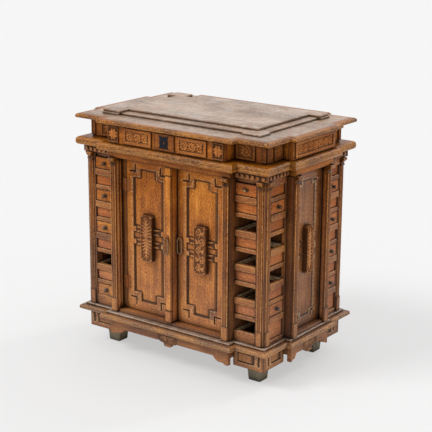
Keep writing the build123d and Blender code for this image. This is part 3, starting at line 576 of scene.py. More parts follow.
def eared(half, reach, missing=()):
    """Outline of a raised field with a square ear past each of its corners.

    half is the field's half size and reach how far the ears pass it; corners in missing have none.
    """
    (hx, hy), (rx, ry) = half, reach
    ear_x, ear_y = hx + rx, hy + ry
    in_x, in_y = ear_x - 58 * MM, ear_y - 45 * MM
    ear = np.array([(hx, in_y), (ear_x, in_y), (ear_x, ear_y), (in_x, ear_y), (in_x, hy)])
    plain = np.array([(hx, hy)])
    corners = []
    for signs, turned in (((1, 1), False), ((-1, 1), True), ((-1, -1), False), ((1, -1), True)):
        points = (plain if signs in missing else ear) * signs
        corners.append(points[::-1] if turned else points)
    return np.concatenate(corners)


def lid_plates():
    """Lid slab and its two raised fields: golden edges round paler, planked tops with painted
    sheen.
    """
    lower = eared((255 * MM, 156 * MM), (9 * MM, 10 * MM))
    upper = eared((228 * MM, 124 * MM), (34 * MM, 40 * MM), [(1, -1)])
    slab_edge = nose(LID_SLAB, 4 * MM, 7 * MM, flat=9 * MM)
    # the tiers' foot of -0.35 paints a thin line of shade along the foot of their edges
    plates = (
        ("lid_slab", plan(), slab_edge, 0.9, 95, NOSE_OAK, None),
        ("lid_lower_tier", lower, eased_edge(LOWER_TIER, 1.6 * MM), 0.5, 78, TOP_OAK, -0.35),
        ("lid_upper_tier", upper, eased_edge(UPPER_TIER, 2 * MM), 0.5, 62, TOP_OAK, -0.35))
    for node, outline, profile, rub, plank, wood, foot in plates:
        edge, faces = Heap(), Heap()
        moulded_plate(edge, outline, profile, 0.5, rub * MM, plank * MM, faces, foot)
        edge.build(f"{node}_edge", "lid", wood, "top_wood")
        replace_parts(faces.build(f"{node}_boards", "lid", TOP_OAK, "top_wood"), node)


# ---------------------------------------------------------------- carving
def facing(turn):
    """Across, up and out directions of a face turned from the front, in degrees."""
    c = round(math.cos(math.radians(turn)))
    s = round(math.sin(math.radians(turn)))
    return np.array([c, s, 0.0]), np.array([0, 0, 1.0]), np.array([s, -c, 0.0])


def outward(low, high, axis):
    """Turn of a block that faces away from the middle of the cabinet along an axis."""
    positive = (low + high)[axis] > 0
    return (90 if positive else -90) if axis == 0 else (180 if positive else 0)


def face_of(low, high, turn=None):
    """Turn, lower left corner on the front plane, width, height and thickness of a flat block.

    Without a turn, the block faces outwards along its thinnest side.
    """
    size = high - low
    if turn is None:
        turn = outward(low, high, int(np.argmin(size[:2])))
    across, _, out = facing(turn)
    middle = (low + high) / 2
    spot = middle - across * abs(size @ across) / 2 + out * abs(size @ out) / 2
    spot[2] = low[2]
    return turn, spot, abs(size @ across), size[2], abs(size @ out)


def to_edge(u, v, width, height):
    """Distance from the nearest edge of a face."""
    return np.minimum.reduce([u, width - u, v, height - v])


def step_wear(height):
    """Wear from 1 to -1: the most where a height is the top of a step, the least at its foot."""
    tall = np.pad(height, 1, mode="edge")
    views = [np.roll(np.roll(tall, a, 0), b, 1) for a in (-1, 0, 1) for b in (-1, 0, 1)]
    most = np.max(views, axis=0)[1:-1, 1:-1]
    least = np.min(views, axis=0)[1:-1, 1:-1]
    share = (height - least) / np.maximum(most - least, 1e-9)
    return np.clip((most - least) / (0.8 * MM), 0, 1) * (2 * share - 1)


def carved_face(heap, spot, turn, us, vs, height, depth, tint, upright=True, wear_and_painted_light=None, sides=None,
                lies=None):
    """Face with a height over each (u, v) of a grid, with side walls down to a depth behind it.

    The grid's border is repeated at the depth. sides is the wear of the side walls, where it
    isn't the border's; the border is then doubled first, a little lower. The grain runs up, or
    across where upright is false or lies is true.
    """
    across, up, out = facing(turn)
    wear_and_painted_light = step_wear(height) if wear_and_painted_light is None else wear_and_painted_light
    if sides is None:
        wear_and_painted_light = np.pad(wear_and_painted_light, 1, mode="edge")
    else:
        wear_and_painted_light = np.pad(wear_and_painted_light, 2, constant_values=sides)
        height = np.pad(height, 1, mode="edge")
        height[[0, -1]] -= 0.3 * MM
        height[1:-1, [0, -1]] -= 0.3 * MM
        us, vs = np.pad(us, 1, mode="edge"), np.pad(vs, 1, mode="edge")
    tall = np.pad(height, 1, constant_values=-depth)
    u, v = np.pad(us, 1, mode="edge")[None, :], np.pad(vs, 1, mode="edge")[:, None]
    points = spot + u[..., None] * across + v[..., None] * up + tall[..., None] * out
    shift = grain_start()
    drop = tall - np.pad(height, 1, mode="edge")
    grain = (pairs(v, u + drop) if upright else pairs(u, v + drop)) + shift
    if lies is not None:
        grain = np.where(np.pad(lies, 1, mode="edge")[..., None], grain[..., ::-1] + 0.7, grain)
    if not np.isscalar(tint):
        tint = np.pad(tint, 1, mode="edge")
    heap.sheet(points, grain, tint, wear_and_painted_light)
    corners = points[[0, 0, -1, -1], [0, -1, -1, 0]]
    heap.add(corners, np.array([[3, 2, 1, 0]]), corners[:, [0, 2]], 0.3)


def raised(u, v, strokes):
    """Height of the highest of some strokes, each a path, its radius and its height from 0 to 1.

    A stroke is a round ridge: a half circle on the distance from the path over the radius.
    """
    total = np.zeros(u.shape)
    for path, radius, high in strokes:
        radius = np.broadcast_to(radius, len(path))
        best = np.full(u.shape, 9.0)
        for start in range(0, len(path), 24):
            part = slice(start, start + 24)
            away = np.hypot(u[..., None] - path[part, 0], v[..., None] - path[part, 1])
            best = np.minimum(best, (away / radius[part]).min(-1))
        total = np.maximum(total, high * np.sqrt(np.clip(1 - best ** 2, 0, 1)))
    return total


def spiral(centre, size, start, turns, count=46):
    """Points of a scroll that winds inwards: its radius falls as what is left to the power 0.75."""
    t = np.linspace(0, 1, count)
    angle = start + turns * 2 * math.pi * t
    radius = size * (1 - t) ** 0.75
    return pairs(centre[0] + radius * np.cos(angle), centre[1] + radius * np.sin(angle))


def leaf(base, tip, bend, width, high=1.0, count=14):
    """Stroke of a leaf: its spine bowed sideways by a share of its length.

    Its radius along the spine is quick to swell and slow to taper.
    """
    base, tip = np.asarray(base, dtype=float), np.asarray(tip, dtype=float)
    t = np.linspace(0, 1, count)
    side = np.array([-(tip - base)[1], (tip - base)[0]])
    spine = base + (tip - base) * t[:, None] + side * bend * np.sin(math.pi * t[:, None])
    return spine, width * (0.25 + 0.75 * np.sin(math.pi * np.clip(t * 0.85 + 0.12, 0, 1))), high


def scrolls(width, height):
    """Running scrolls: alternate spirals along the panel, a stem between, leaves round each."""
    count = max(1, round(width / height))
    pitch = width / count
    reach = 0.46 * min(pitch, height)
    t = np.linspace(0, 1, 60 * count)
    stem = pairs(t * width, height / 2 + 0.42 * height * np.cos(math.pi * t * count))
    strokes = [(stem, 1.3 * MM, 0.85)]
    for number in range(count):
        sign = 1 if number % 2 else -1
        centre = (pitch * (number + 0.5), height / 2)
        curl = spiral(centre, reach, -sign * math.pi / 2, sign * 1.6)
        strokes.append((curl, np.linspace(2.0, 1.5, len(curl)) * MM, 1.0))
        strokes.append((np.array([centre]), 2.4 * MM, 1.0))
        for step in range(9):
            angle = math.pi * 2 * step / 9 + number
            inner = np.array([math.cos(angle), math.sin(angle)]) * reach * 0.4
            outer = np.array([math.cos(angle + 0.4), math.sin(angle + 0.4)]) * reach * 1.25
            strokes.append(leaf(centre + inner, centre + outer, 0.22 * sign, 2.0 * MM, 0.8))
    return strokes


def rosette(width, height):
    """Four-part flower: petals towards the sides, small leaves to the corners, a round middle."""
    centre = np.array([width, height]) / 2
    strokes = [(centre[None, :], 3.2 * MM, 1.0)]
    for step in range(8):
        angle = math.pi * step / 4
        share, wide, high = (0.60, 2.2, 0.75) if step % 2 else (0.48, 3.0, 1.0)
        base = centre + np.array([math.cos(angle), math.sin(angle)]) * 3.5 * MM
        for lean in (-0.34, 0.34):
            way = np.array([math.cos(angle + lean), math.sin(angle + lean)])
            tip = centre + way * (share * min(width, height))
            strokes.append(leaf(base, tip, 0.25 * np.sign(lean), wide * MM, high))
    return strokes


def leafy(width, height):
    """Acanthus block: leaves that fan up and down from the middle, and a spine."""
    cu, cv = width / 2, height / 2
    strokes = [(np.array([(cu, cv)]), 3.6 * MM, 1.0)]
    for way in (-1, 1):
        spine = pairs(np.full(30, cu), cv + way * np.linspace(0.004, 0.46 * height, 30))
        strokes.append((spine, np.linspace(2.4, 1.2, 30) * MM, 0.9))
        for number, span in enumerate((0.47, 0.47, 0.45, 0.42, 0.36, 0.24)):
            base = cv + way * (1 + 4.6 * number) * MM
            tip = cv + way * (6 + 10.2 * number) * MM
            high = 0.8 + 0.2 * (number % 2)
            for side in (-1, 1):
                ends = (cu + side * 1.5 * MM, base), (cu + side * span * width, tip)
                strokes.append(leaf(*ends, 0.2 * side * way, 2.7 * MM, high))
    return strokes


def paired_scrolls(width, height):
    """Block of scrolls stacked by turns on the sides of a waving spine, with leaves between."""
    cu, cv = width / 2, height / 2
    wave = cu + 3.0 * MM * np.sin(np.linspace(-9.4, 9.4, 90))
    strokes = [(pairs(wave, np.linspace(0.05, 0.95, 90) * height), 1.9 * MM, 0.85)]
    for number in range(-2, 3):
        level = cv + number * 0.185 * height
        side = 1 if number % 2 else -1
        middle = (cu + side * 0.17 * width, level)
        curl = spiral(middle, 0.25 * width, -math.pi / 2 * side, side * 1.6)
        strokes.append((curl, np.linspace(2.2, 1.6, len(curl)) * MM, 1.0))
        start = np.array([cu - side * 2 * MM, level])
        for lean in (-0.6, 0.1, 0.8):
            tip = start + np.array([-side * 0.36 * width, lean * 9 * MM])
            strokes.append(leaf(start, tip, 0.2 * side, 2.2 * MM))
    return strokes


def plain(width, height):
    """Nothing carved."""
    return []


FIRST_LINE = 0.35 * MM      # distance of a carved face's first grid line from its edge


def carving_lines(length, rim):
    """Grid lines along one side of a carved face: close at its edge and its rim, even inside."""
    inner = np.linspace(rim, length - rim, int((length - 2 * rim) / (0.9 * MM)))
    near = np.array([0, FIRST_LINE, rim - 2 * FIRST_LINE])
    if rim > 2 * MM:
        near = np.append(near, [0.9 * MM, 1.5 * MM, rim - 1.5 * MM, rim - 0.95 * MM])
    return np.unique(np.round(np.concatenate([near, inner, length - near]), 5))


def frieze_block(heap, low, high):
    """Carved block of the frieze: framed scrolls on a long one, a rosette on a square one."""
    turn, spot, width, height, depth = face_of(low, high)
    ratio = width / height
    lock_block = abs((low + high)[0]) < 1e-4 and turn == 0
    field, sink, rise, rim = scrolls, 3.0 * MM, 2.8 * MM, 8.5 * MM
    if lock_block:
        field, sink, rise, rim = plain, 0.8 * MM, 0.0, 4 * MM
    elif ratio < 0.5:
        field, sink, rise, rim = plain, 2.0 * MM, 0.0, 3 * MM
    elif ratio < 1.1:
        field, rim = rosette if turn == 0 else scrolls, 2.4 * MM
    elif ratio < 2.2:
        rim = 5 * MM
    us, vs = carving_lines(width, rim), carving_lines(height, rim)
    u, v = np.meshgrid(us, vs)
    edge = to_edge(u, v, width, height)
    strokes = field(width - 2 * rim, height - 2 * rim)
    carving = raised(u - rim, v - rim, strokes) * rise - sink
    inside = (u >= rim) & (u <= width - rim) & (v >= rim) & (v <= height - rim)
    tall = np.where(inside, carving, np.where(edge < FIRST_LINE / 2, -FIRST_LINE, 0.0))
    if ratio > 1.5 and not lock_block:
        slit = (u > width - 14 * MM) & (u < width - 11 * MM) & (abs(v - height / 2) < 9 * MM)
        tall = np.where(slit, -depth + 0.2 * MM, tall)
    crest = 1.5 * np.clip(1 + tall / sink, 0, 1) ** 1.5 - (1.0 if ratio < 1.1 else 0.65)
    if turn:
        crest = crest * 0.55 - 0.1
    flat = -0.2 if rise else -0.3
    wear_and_painted_light = np.where(edge < rim - MM, flat, crest if rise else flat)
    wear_and_painted_light = np.where((edge < 0.8 * MM) | (abs(edge - rim) < 0.9 * MM), -0.85, wear_and_painted_light)
    wear_and_painted_light = np.where(tall < -3.4 * MM, -1.0, wear_and_painted_light)
    carved_face(heap, spot, turn, us, vs, tall, depth, -0.4 if lock_block else 0.5,
                upright=False, wear_and_painted_light=wear_and_painted_light, sides=-0.8)


def carved_blocks(node, name, body, fields):
    """Raised middle blocks: notched corners, a thin rim and a carved face, on thick plain sides.

    One edge of each, the far one from the light, carries a painted highlight, and the sides and
    the notched corners are painted dark as shade.
    """
    heap = Heap()
    notch, sink, rise = 5 * MM, 2.8 * MM, 2.7 * MM
    cut_sides = np.array([notch - 0.3 * MM, notch + 0.3 * MM])
    for (low, high), field in zip(solids(node), fields):
        turn = 0 if node != "fixed_bosses" else 90 if low[0] > 0 else -90
        turn, spot, width, height, depth = face_of(low, high, turn)
        us, vs = (np.unique(np.concatenate([carving_lines(size, 1.6 * MM), cut_sides,
                                            size - cut_sides])) for size in (width, height))
        u, v = np.meshgrid(us, vs)
        from_side, from_end = np.minimum(u, width - u), np.minimum(v, height - v)
        rim = to_edge(u, v, width, height) < 0.9 * MM
        near = (from_side < notch + 1.6 * MM) & (from_end < notch + 1.6 * MM)
        cut = (from_side < notch) & (from_end < notch)
        carving = raised(u, v, field(width, height)) * rise - sink
        tall = np.where(cut, -depth + 0.5 * MM, np.where(rim | near, 0.0, carving))
        ground = 1.1 * (1.35 * np.clip(1 + tall / sink, 0, 1) ** 0.7 - 0.7)
        lit = (width - u if turn == 0 else u) < 1.7 * MM
        # painted shade in the cut notches and a painted highlight along the lit edge
        wear_and_painted_light = np.where(cut, -0.9, np.where(lit, 1.8, np.where(rim, 0.4, ground)))
        carved_face(heap, spot, turn, us, vs, tall, depth, 0.45, wear_and_painted_light=wear_and_painted_light, sides=-0.95)
    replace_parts(heap.build(name, body, CARVED_OAK, "oak"), node)


# ---------------------------------------------------------------- doors and framed panels
def stepped_lines(breaks, low, high):
    """Grid lines with five close on each side of every break, so steps stay crisp."""
    offsets = np.array([-8.0, -5.0, -3.0, -1.5, -0.3, 0.3, 1.5, 3.0, 5.0, 8.0]) * MM
    lines = (np.unique(np.round(breaks, 6))[:, None] + offsets).ravel()
    ends = [low, low + 0.5 * MM, low + 1.5 * MM, high - 1.5 * MM, high - 0.5 * MM, high]
    middle = np.arange(low, high, 14 * MM)[1:-1]
    lines = np.unique(np.round(np.concatenate([lines, ends, middle]), 6))
    lines = lines[(lines >= low) & (lines <= high)]
    return lines[np.concatenate([[True], np.diff(lines) > 0.15 * MM])]


def fretted_layers(field, square, groove, bars, boss_half):
    """Steps of a framed panel as (u0, u1, v0, v1, height, tone, across) in painting order.

    field is (u0, u1, v0, v1); square the side of the blocks in its corners; groove how far in
    the L-shaped grooves turn; bars the height over the sill of the cross bars' middle.
    """
    u0, u1, v0, v1 = field
    lip = 2.4 * MM
    lip_level = -1.1 * MM
    half = 2.5 * MM          # half the width of a groove
    band = 9.5 * MM          # the bars begin this far above and below the middle
    ends = groove + half
    layers = [(u0, u1, v0, v1, -5 * MM, 0.72, False)]
    layers += [(a, b, v0, v1, lip_level, 0.5, False) for a, b in ((u0 - lip, u0), (u1, u1 + lip))]
    layers += [(u0, u1, a, b, lip_level, 0.5, True) for a, b in ((v0 - lip, v0), (v1, v1 + lip))]
    corner = ((-lip, square, -lip, square, 0.0, -0.6),
              (groove - half, ends, -2 * groove, ends, -3 * MM, 0.1),
              (-2 * groove, ends, groove - half, ends, -3 * MM, 0.1))
    for cu, su in ((u0, 1), (u1, -1)):
        for cv, sv in ((v0, 1), (v1, -1)):
            for a, b, c, d, level, tone in corner:
                spans = *sorted((cu + su * a, cu + su * b)), *sorted((cv + sv * c, cv + sv * d))
                layers.append((*spans, level, tone, False))
    middle = (u0 + u1) / 2
    sides = (u0 - lip, middle - boss_half + 4 * MM), (middle + boss_half - 4 * MM, u1 + lip)
    stops = (u0 - 4 * MM, u0 + 7 * MM), (u1 - 7 * MM, u1 + 4 * MM)
    for sign in (-1, 1):
        low, high = sorted((bars + sign * band, bars + sign * 26.5 * MM))
        for a, b in sides:
            layers.append((a, b, low, high, -1.2 * MM, 0.4, True))
            layers.append((a, b, low + 5 * MM, high - 5 * MM, -2.4 * MM, 0.45, True))
        layers += [(a, b, low + 2 * MM, high - 2 * MM, 0.0, 0.25, False) for a, b in stops]
    layers += [(a, b, bars - band, bars + band, -3.4 * MM, 0.5, True) for a, b in sides]
    return layers


def under(layer, u, v):
    """True where a layer covers a point."""
    return (u > layer[0]) & (u < layer[1]) & (v > layer[2]) & (v < layer[3])


def painted(layers, u, v):
    """Height of the last layer that covers each point."""
    tall = np.zeros(u.shape)
    for layer in layers:
        tall = np.where(under(layer, u, v), layer[4], tall)
    return tall


def fretted_face(heap, spot, turn, width, height, stiles, rail, layers, depth, tint, hidden=1):
    """Front of a framed panel: the layers painted over its stiles and rails.

    Heights, tones and the run of the grain are worked out at each crossing of the grid lines.
    Painted shade lies at the foot of the steps, wide towards +u, or towards -u where hidden is -1,
    and painted highlights lie along the top edges of the steps.
    """
    left, right = stiles
    us = stepped_lines([side for layer in layers for side in layer[:2]] + [left, width - right],
                       0, width)
    vs = stepped_lines([side for layer in layers for side in layer[2:4]] + [rail, height - rail],
                       0, height)
    u, v = np.meshgrid(us, vs)
    tall = painted(layers, u, v)
    across = (u > left) & (u < width - right)
    tone = np.where(across, 0.42, np.where(u < left, 0.55, 0.35))
    for layer in layers:
        inside = under(layer, u, v)
        tone = np.where(inside, layer[5], tone)
        across = np.where(inside, layer[6], across)
    # painted shade at the foot of each step, wider on the side hidden from view, and painted
    # highlights along the top edges of the steps
    painted_step_shade = np.zeros(u.shape)
    rub_and_painted_light = np.zeros(u.shape)
    near, far = 4.2 * MM, 11.0 * MM
    for reach, share in ((1.0, 0.75), (0.6, 1.0)):
        for step in range(8):
            du, dv = math.cos(step * math.pi / 4), math.sin(step * math.pi / 4)
            du, dv = du * reach * (far if du * hidden > 0.5 else near), dv * reach * near
            change = painted(layers, u + du, v + dv) - tall
            painted_step_shade = np.maximum(painted_step_shade, share * np.clip(change / MM, 0, 1))
            rub_and_painted_light = np.maximum(rub_and_painted_light, 0.7 * share * np.clip(-change / (2 * MM), 0, 1))
    half_joint = 0.5 * MM
    joint = np.minimum(abs(u - left), abs(u - width + right)) < half_joint
    joint |= (np.minimum(abs(v - rail), abs(v - height + rail)) < half_joint) & across
    # painted shade first, then dark joints, else the painted highlights
    wear_and_painted_light = np.where(painted_step_shade > 0.05, -painted_step_shade, np.where(joint & (tall > -0.5 * MM), -0.7, rub_and_painted_light))
    border = to_edge(u, v, width, height)
    tall = np.where(border < 0.2 * MM, tall - 0.5 * MM, tall)
    wear_and_painted_light = np.where(border < 1.0 * MM, -0.9, wear_and_painted_light)
    carved_face(heap, spot, turn, us, vs, tall, depth, tone + tint, wear_and_painted_light=wear_and_painted_light, lies=across)


def back_board(heap, low, high, out, depth, ease):
    """A board between two corners, less a depth at its face towards out."""
    box = [low.copy(), high.copy()]
    axis = int(np.argmax(abs(out)))
    box[1 if out[axis] > 0 else 0][axis] -= out[axis] * depth
    worked_board(heap, *box, ease)


RAIL = 30 * MM              # height of the frames' rails
OUTER_STILE = 25 * MM
MEETING_STILE = 30 * MM
BAY_STILE = 33 * MM


def door_front(side):
    """One door: its fretted face, and behind it the frame's and the panel's own boards."""
    name = "left" if side < 0 else "right"
    low, high = (np.array(corner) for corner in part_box(f"{name}_door_frame"))
    width, height = high[0] - low[0], high[2] - low[2]
    stiles = (OUTER_STILE, MEETING_STILE)[::-side]
    field = (stiles[0], width - stiles[1], RAIL, height - RAIL)
    layers = fretted_layers(field, 23 * MM, 7 * MM, BOSS_Z - low[2], 19 * MM)
    heap = Heap()
    fretted_face(heap, low, 0, width, height, stiles, RAIL, layers, 7 * MM, 0.1 * side)
    forward = facing(0)[2]
    for first, last in solids(f"{name}_door_frame"):
        back_board(heap, first, last, forward, 6.9 * MM, 0.5 * MM)
    for first, last in solids(f"{name}_door_panel"):
        back_board(heap, first, last, forward, 2 * MM, 0.5 * MM)
    piece = heap.build(f"{name}_door_front", f"{name}_door", CASE_OAK, "oak")
    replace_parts(piece, f"{name}_door_frame", f"{name}_door_panel", f"{name}_door_fret")


def side_panels():
    """Framed panels of the side bays with their fretted faces, and the plain ones of the back."""
    heap = Heap()
    frames = solids("fixed_frames")
    for turn in (90, -90):
        out = facing(turn)[2]
        own = [box for box in frames if (box[0] + box[1])[0] * out[0] > 0.5]
        low = np.min([box[0] for box in own], axis=0)
        high = np.max([box[1] for box in own], axis=0)
        spot, width, height = face_of(low, high, turn)[1:4]
        field = (BAY_STILE, width - BAY_STILE, RAIL, height - RAIL)
        layers = fretted_layers(field, 15 * MM, 5 * MM, BOSS_Z - low[2], 13 * MM)
        layers = [(*layer[:4], max(layer[4], -4 * MM), *layer[5:]) for layer in layers]
        fretted_face(heap, spot, turn, width, height, (BAY_STILE, BAY_STILE), RAIL, layers,
                     5 * MM, -0.1, -int(out[0]))
        for first, last in own:
            back_board(heap, first, last, out, 4.9 * MM, 0.4 * MM)
    for first, last in frames:
        if abs((first + last)[0]) < 0.4:
            worked_board(heap, first, last)
    for first, last in solids("fixed_panels"):
        worked_board(heap, first, last, 0.4 * MM)
    # the side and back panels take the darker copy of the oak as painted shade
    piece = heap.build("fixed_panel_fronts", "case", SHADED_SIDE_OAK, "oak")
    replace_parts(piece, "fixed_frames", "fixed_panels", "fixed_frets")


def post_reveals():
    """Sides of the bays' posts towards the doors and panels: two flat beads painted with highlights
    between grooves painted dark as shade.

    Height and wear follow the distance in from the post's outer face, the same all the way up.
    The posts at the back stay plain, and so do the sides that face into the case.
    """
    heap = Heap()
    side_bay_x, back_post_y, door_post_y = 290 * MM, 120 * MM, -185 * MM
    panel_face = (182.5 * MM, 304.5 * MM)    # where a reveal ends: at a door, at a side panel
    marks = np.array([0.9, 1.3, 9.0, 9.6, 10.2, 13.6, 14.2, 14.8, 19.6, 20.2, 20.8]) * MM
    proud = np.array([0.3, 0.7, 0.7, 0.5, 0.1, 0.1, 0.5, 0.7, 0.7, 0.5, 0.1, 0.1]) * MM
    # wear of each strip, from the outer face in: painted highlights on the edge and the beads,
    # painted shade in the grooves
    rub_and_painted_light = np.array([0.9, 0.7, 0.5, -0.5, -0.95, -0.95, -0.5, 0.6, 0.4, -0.5, -0.95, -0.95])
    for low, high in solids("bay_posts"):
        middle = (low + high) / 2
        side = int(abs(middle[0]) > side_bay_x)      # 1 on the side bays, 0 on the others
        if middle[1] > back_post_y or (not side and middle[1] > door_post_y):
            continue
        along = 1 - side
        sign = 1 if middle[along] > 0 else -1
        toward = -1 if middle[side] > 0 else 1
        turn = (180 if toward > 0 else 0) if side else 90 * toward
        outer = max(abs(low[along]), abs(high[along]))
        length = outer - panel_face[side]
        from_outer = facing(turn)[0][along] * sign < 0
        ins = np.append(marks, length)
        us = ins - ins[0] if from_outer else (length - ins)[::-1]
        order = slice(None, None, 1 if from_outer else -1)
        # on the side bays the painted highlights are left out and the whole reveal is painted
        # darker as shade
        wear_and_painted_light = np.minimum(rub_and_painted_light, 0) - 0.25 if side else rub_and_painted_light
        spot = np.zeros(3)
        spot[side] = high[side] if toward > 0 else low[side]
        spot[along] = sign * (outer - ins[0] if from_outer else panel_face[side])
        spot[2] = max(low[2], BASE_STEP[1]) + 0.2 * MM
        vs = np.linspace(0, high[2] - spot[2] - 0.4 * MM, 16)
        tall, wear_and_painted_light = (np.broadcast_to(row[order], (len(vs), len(us))) for row in (proud, wear_and_painted_light))
        carved_face(heap, spot, turn, us, vs, tall, 0.0, 0.4, wear_and_painted_light=wear_and_painted_light)
    heap.build("post_reveals", "case", CASE_OAK, "oak")


# ---------------------------------------------------------------- turned, moulded and shaped pieces
def turned(heap, spot, out, profile, tint, count=20):
    """A turned piece: radius and distance along out in mm, carried round in equal steps."""
    profile = np.array(profile) * MM
    out = np.asarray(out, dtype=float)
    side = np.array([-out[1], out[0], 0.0])
    rise = np.cross(out, side)
    angle = np.linspace(0, 2 * math.pi, count + 1)
    radial = np.cos(angle)[:, None] * side + np.sin(angle)[:, None] * rise
    points = spot + profile[:, None, :1] * radial[None] + profile[:, None, 1:] * out
    heap.sheet(points, pairs(angle * 6 * MM, profile[:, 1:]), tint, 0.1)


def moulded_run(heap, ring, stations, spot, b_axis, c_axis, axis, tint, wear_and_painted_light, scale=1.0):
    """A closed section carried straight along an axis; b_axis cross c_axis is the axis.

    ring holds the section anticlockwise, its first point again at its end and symmetric, so
    that the ends close across it; scale widens the section at each station.
    """
    section = ring * np.broadcast_to(scale, len(stations))[:, None, None]
    points = spot + section[..., :1] * b_axis + section[..., 1:] * c_axis
    points = points + stations[:, None, None] * axis
    shift = grain_start()
    uv = pairs(stations[:, None] + shift[0], run_along(ring) + shift[1])
    heap.sheet(points, uv, tint, wear_and_painted_light)
    heap.caps(points, np.broadcast_to(ring + shift, section.shape), tint, 0.2)


def shaft_ring(width, proud):
    """Section of a pilaster shaft: a flat face between two edge beads, each behind a groove.

    Given as (out, across), anticlockwise, starting and ending at the back.
    """
    half = width / 2
    bead = 0.17 * half
    turn = np.linspace(-math.pi / 2, math.pi / 2, 7)
    beads = pairs(proud - bead + bead * np.cos(turn), half - bead + bead * np.sin(turn))
    groove = [(proud - 1.5 * MM, half - 2.1 * bead), (proud - 1.5 * MM, half - 2.5 * bead)]
    flat = [(proud - 0.3 * MM, half - 2.9 * bead)]
    quarter = np.concatenate([flat, groove, beads, [(0, half)]])
    ring = np.concatenate([(quarter * (1, -1))[::-1], quarter])
    return np.concatenate([ring, ring[:1]])


def pilaster(heap, low, high):
    """Shaft turned to the face it stands on: highlights painted on its edge beads, shade in its
    grooves.
    """
    turn, spot, width, height, depth = face_of(low, high)
    across, up, out = facing(turn)
    middle = spot + across * width / 2 - out * depth
    ring = shaft_ring(width, depth)
    off = abs(ring[:, 1]) / (width / 2)
    proud = ring[:, 0] > depth - 1.3 * MM
    # painted highlights on the proud beads, painted shade in the grooves
    wear_and_painted_light = np.where(off < 0.5, 0.25, np.where(proud & (off > 0.7), 0.9, -0.6))
    stations = np.linspace(0, height, 14)
    moulded_run(heap, ring, stations, middle, out, across, up, rng.random() * 0.6, wear_and_painted_light)


CONSOLE_RISE = [0, 0.05, 0.12, 0.18, 0.24, 0.34, 0.44, 0.54, 0.64, 0.74, 0.83, 0.9, 0.95, 1.0]
CONSOLE_OUT = [0.30, 0.44, 0.50, 0.42, 0.28, 0.30, 0.42, 0.66, 0.88, 0.99, 1.0, 0.93, 0.80, 0.80]


def console(heap, low, high):
    """Console: a small roll at the foot, a hollow, and a scroll that swells at the top.

    The face's height is the side outline at each level, less a flute down the middle.
    """
    size = (high - low)[:2]
    wide = size.max() > 20.5 * MM
    deep = 16 * MM if wide else 13 * MM
    turn = outward(low, high, int(np.argmin(abs(size - deep))))
    turn, spot, width, height, depth = face_of(low, high, turn)
    us = np.linspace(0, width, 15)
    vs = np.linspace(0, height, 34)
    u, v = np.meshgrid(us / width * 2 - 1, vs / height)
    outline = np.interp(v, CONSOLE_RISE, CONSOLE_OUT)
    dip = np.exp(-(u / 0.34) ** 4)
    flute = 0.04 * dip + 0.10 * (abs(u) > 0.97)
    tall = depth * (outline - flute - 1)
    # painted highlight on the swell of the scroll, painted shade in the hollow and down the flute
    wear_and_painted_light = 1.5 * outline - 1.0 - 0.4 * dip
    carved_face(heap, spot, turn, us, vs, tall, depth, 0.25, wear_and_painted_light=wear_and_painted_light, sides=-0.4)


def dentil_row(heap, low, high):
    """Row of small square teeth on a strip under the cornice, whose edges are painted dark as
    shade.
    """
    pitch = 16 * MM
    tooth = 0.55 * pitch
    axis = int(np.argmax((high - low)[:2]))
    other = 1 - axis
    near = 0 if (low + high)[other] > 0 else 1
    middle = (low + high)[other] / 2
    strip = np.array([low, high])
    strip[1 - near][other] = middle
    # edges of the strip painted dark as shade
    worked_board(heap, *strip, 0.4 * MM, edge=-0.95)
    length = (high - low)[axis]
    count = int(length // pitch)
    start = low[axis] + (length - (count - 1) * pitch - tooth) / 2
    for number in range(count):
        block = np.array([low, high])
        block[:, axis] = start + number * pitch + np.array([0, tooth])
        block[:, 2] = low[2] + 4 * MM, high[2] - 5 * MM
        block[near][other] = middle
        worked_board(heap, *block, 0.6 * MM, along=other, edge=0.6)


def foot_block(heap, low, high):
    """Block that tapers to the floor with worn corners."""
    ring = eased_ring(23 * MM, 23 * MM, 4 * MM)[0]
    stations = np.array([0, 1.5, 6, 20, 34, 46, 48]) * MM
    scale = np.array([0.80, 0.826, 0.84, 0.89, 0.95, 1.0, 1.0])
    spot = (low + high) / 2 * (1, 1, 0)
    moulded_run(heap, ring, stations, spot, *np.eye(3), rng.random(), 0.1, scale)


def plinth_board(heap, low, high):
    """Plinth board: a sunk panel and, nearer its outer end, an upright slot in its face."""
    if high[2] - low[2] < 20 * MM:
        worked_board(heap, low, high)
        return
    turn, spot, width, height, _ = face_of(low, high)
    across, _, out = facing(turn)
    far = (spot + across * width) @ across > 0
    slot = width - 17 * MM if far else 11 * MM
    left, right = (13 * MM, width - 27 * MM) if far else (27 * MM, width - 13 * MM)
    layers = [(left, right, 13 * MM, height - 9 * MM, -2.6 * MM, 0.9, True),
              (left + 3 * MM, right - 3 * MM, 16 * MM, height - 12 * MM, -1.6 * MM, 0.9, True),
              (slot, slot + 6 * MM, 12 * MM, height - 8 * MM, -2.8 * MM, 0.2, False)]
    fretted_face(heap, spot, turn, width, height, (0, 0), 0, layers, 3 * MM, 0.0)
    back_board(heap, low, high, out, 2.9 * MM, 0.3 * MM)


def apron_edge(u, length, bracket, pendant):
    """Lower edge of an apron over the length, as a drop below its straight part.

    Bracket ends fall in an ogee towards the corners, and a lobed pendant hangs in the middle.
    """
    end = np.minimum(u, length - u)
    share = np.clip(1 - end / bracket, 0, 1)
    ogee = share + 0.16 * np.sin(2 * math.pi * share)
    away = np.clip(abs(u - length / 2) / pendant, 0, 1)
    lobe = 0.5 + 0.5 * np.cos(math.pi * away) + 0.14 * np.sin(3 * math.pi * away)
    return np.maximum(18 * MM * np.clip(ogee * 1.5, 0, 1), 13 * MM * np.clip(lobe * 1.2, 0, 1))


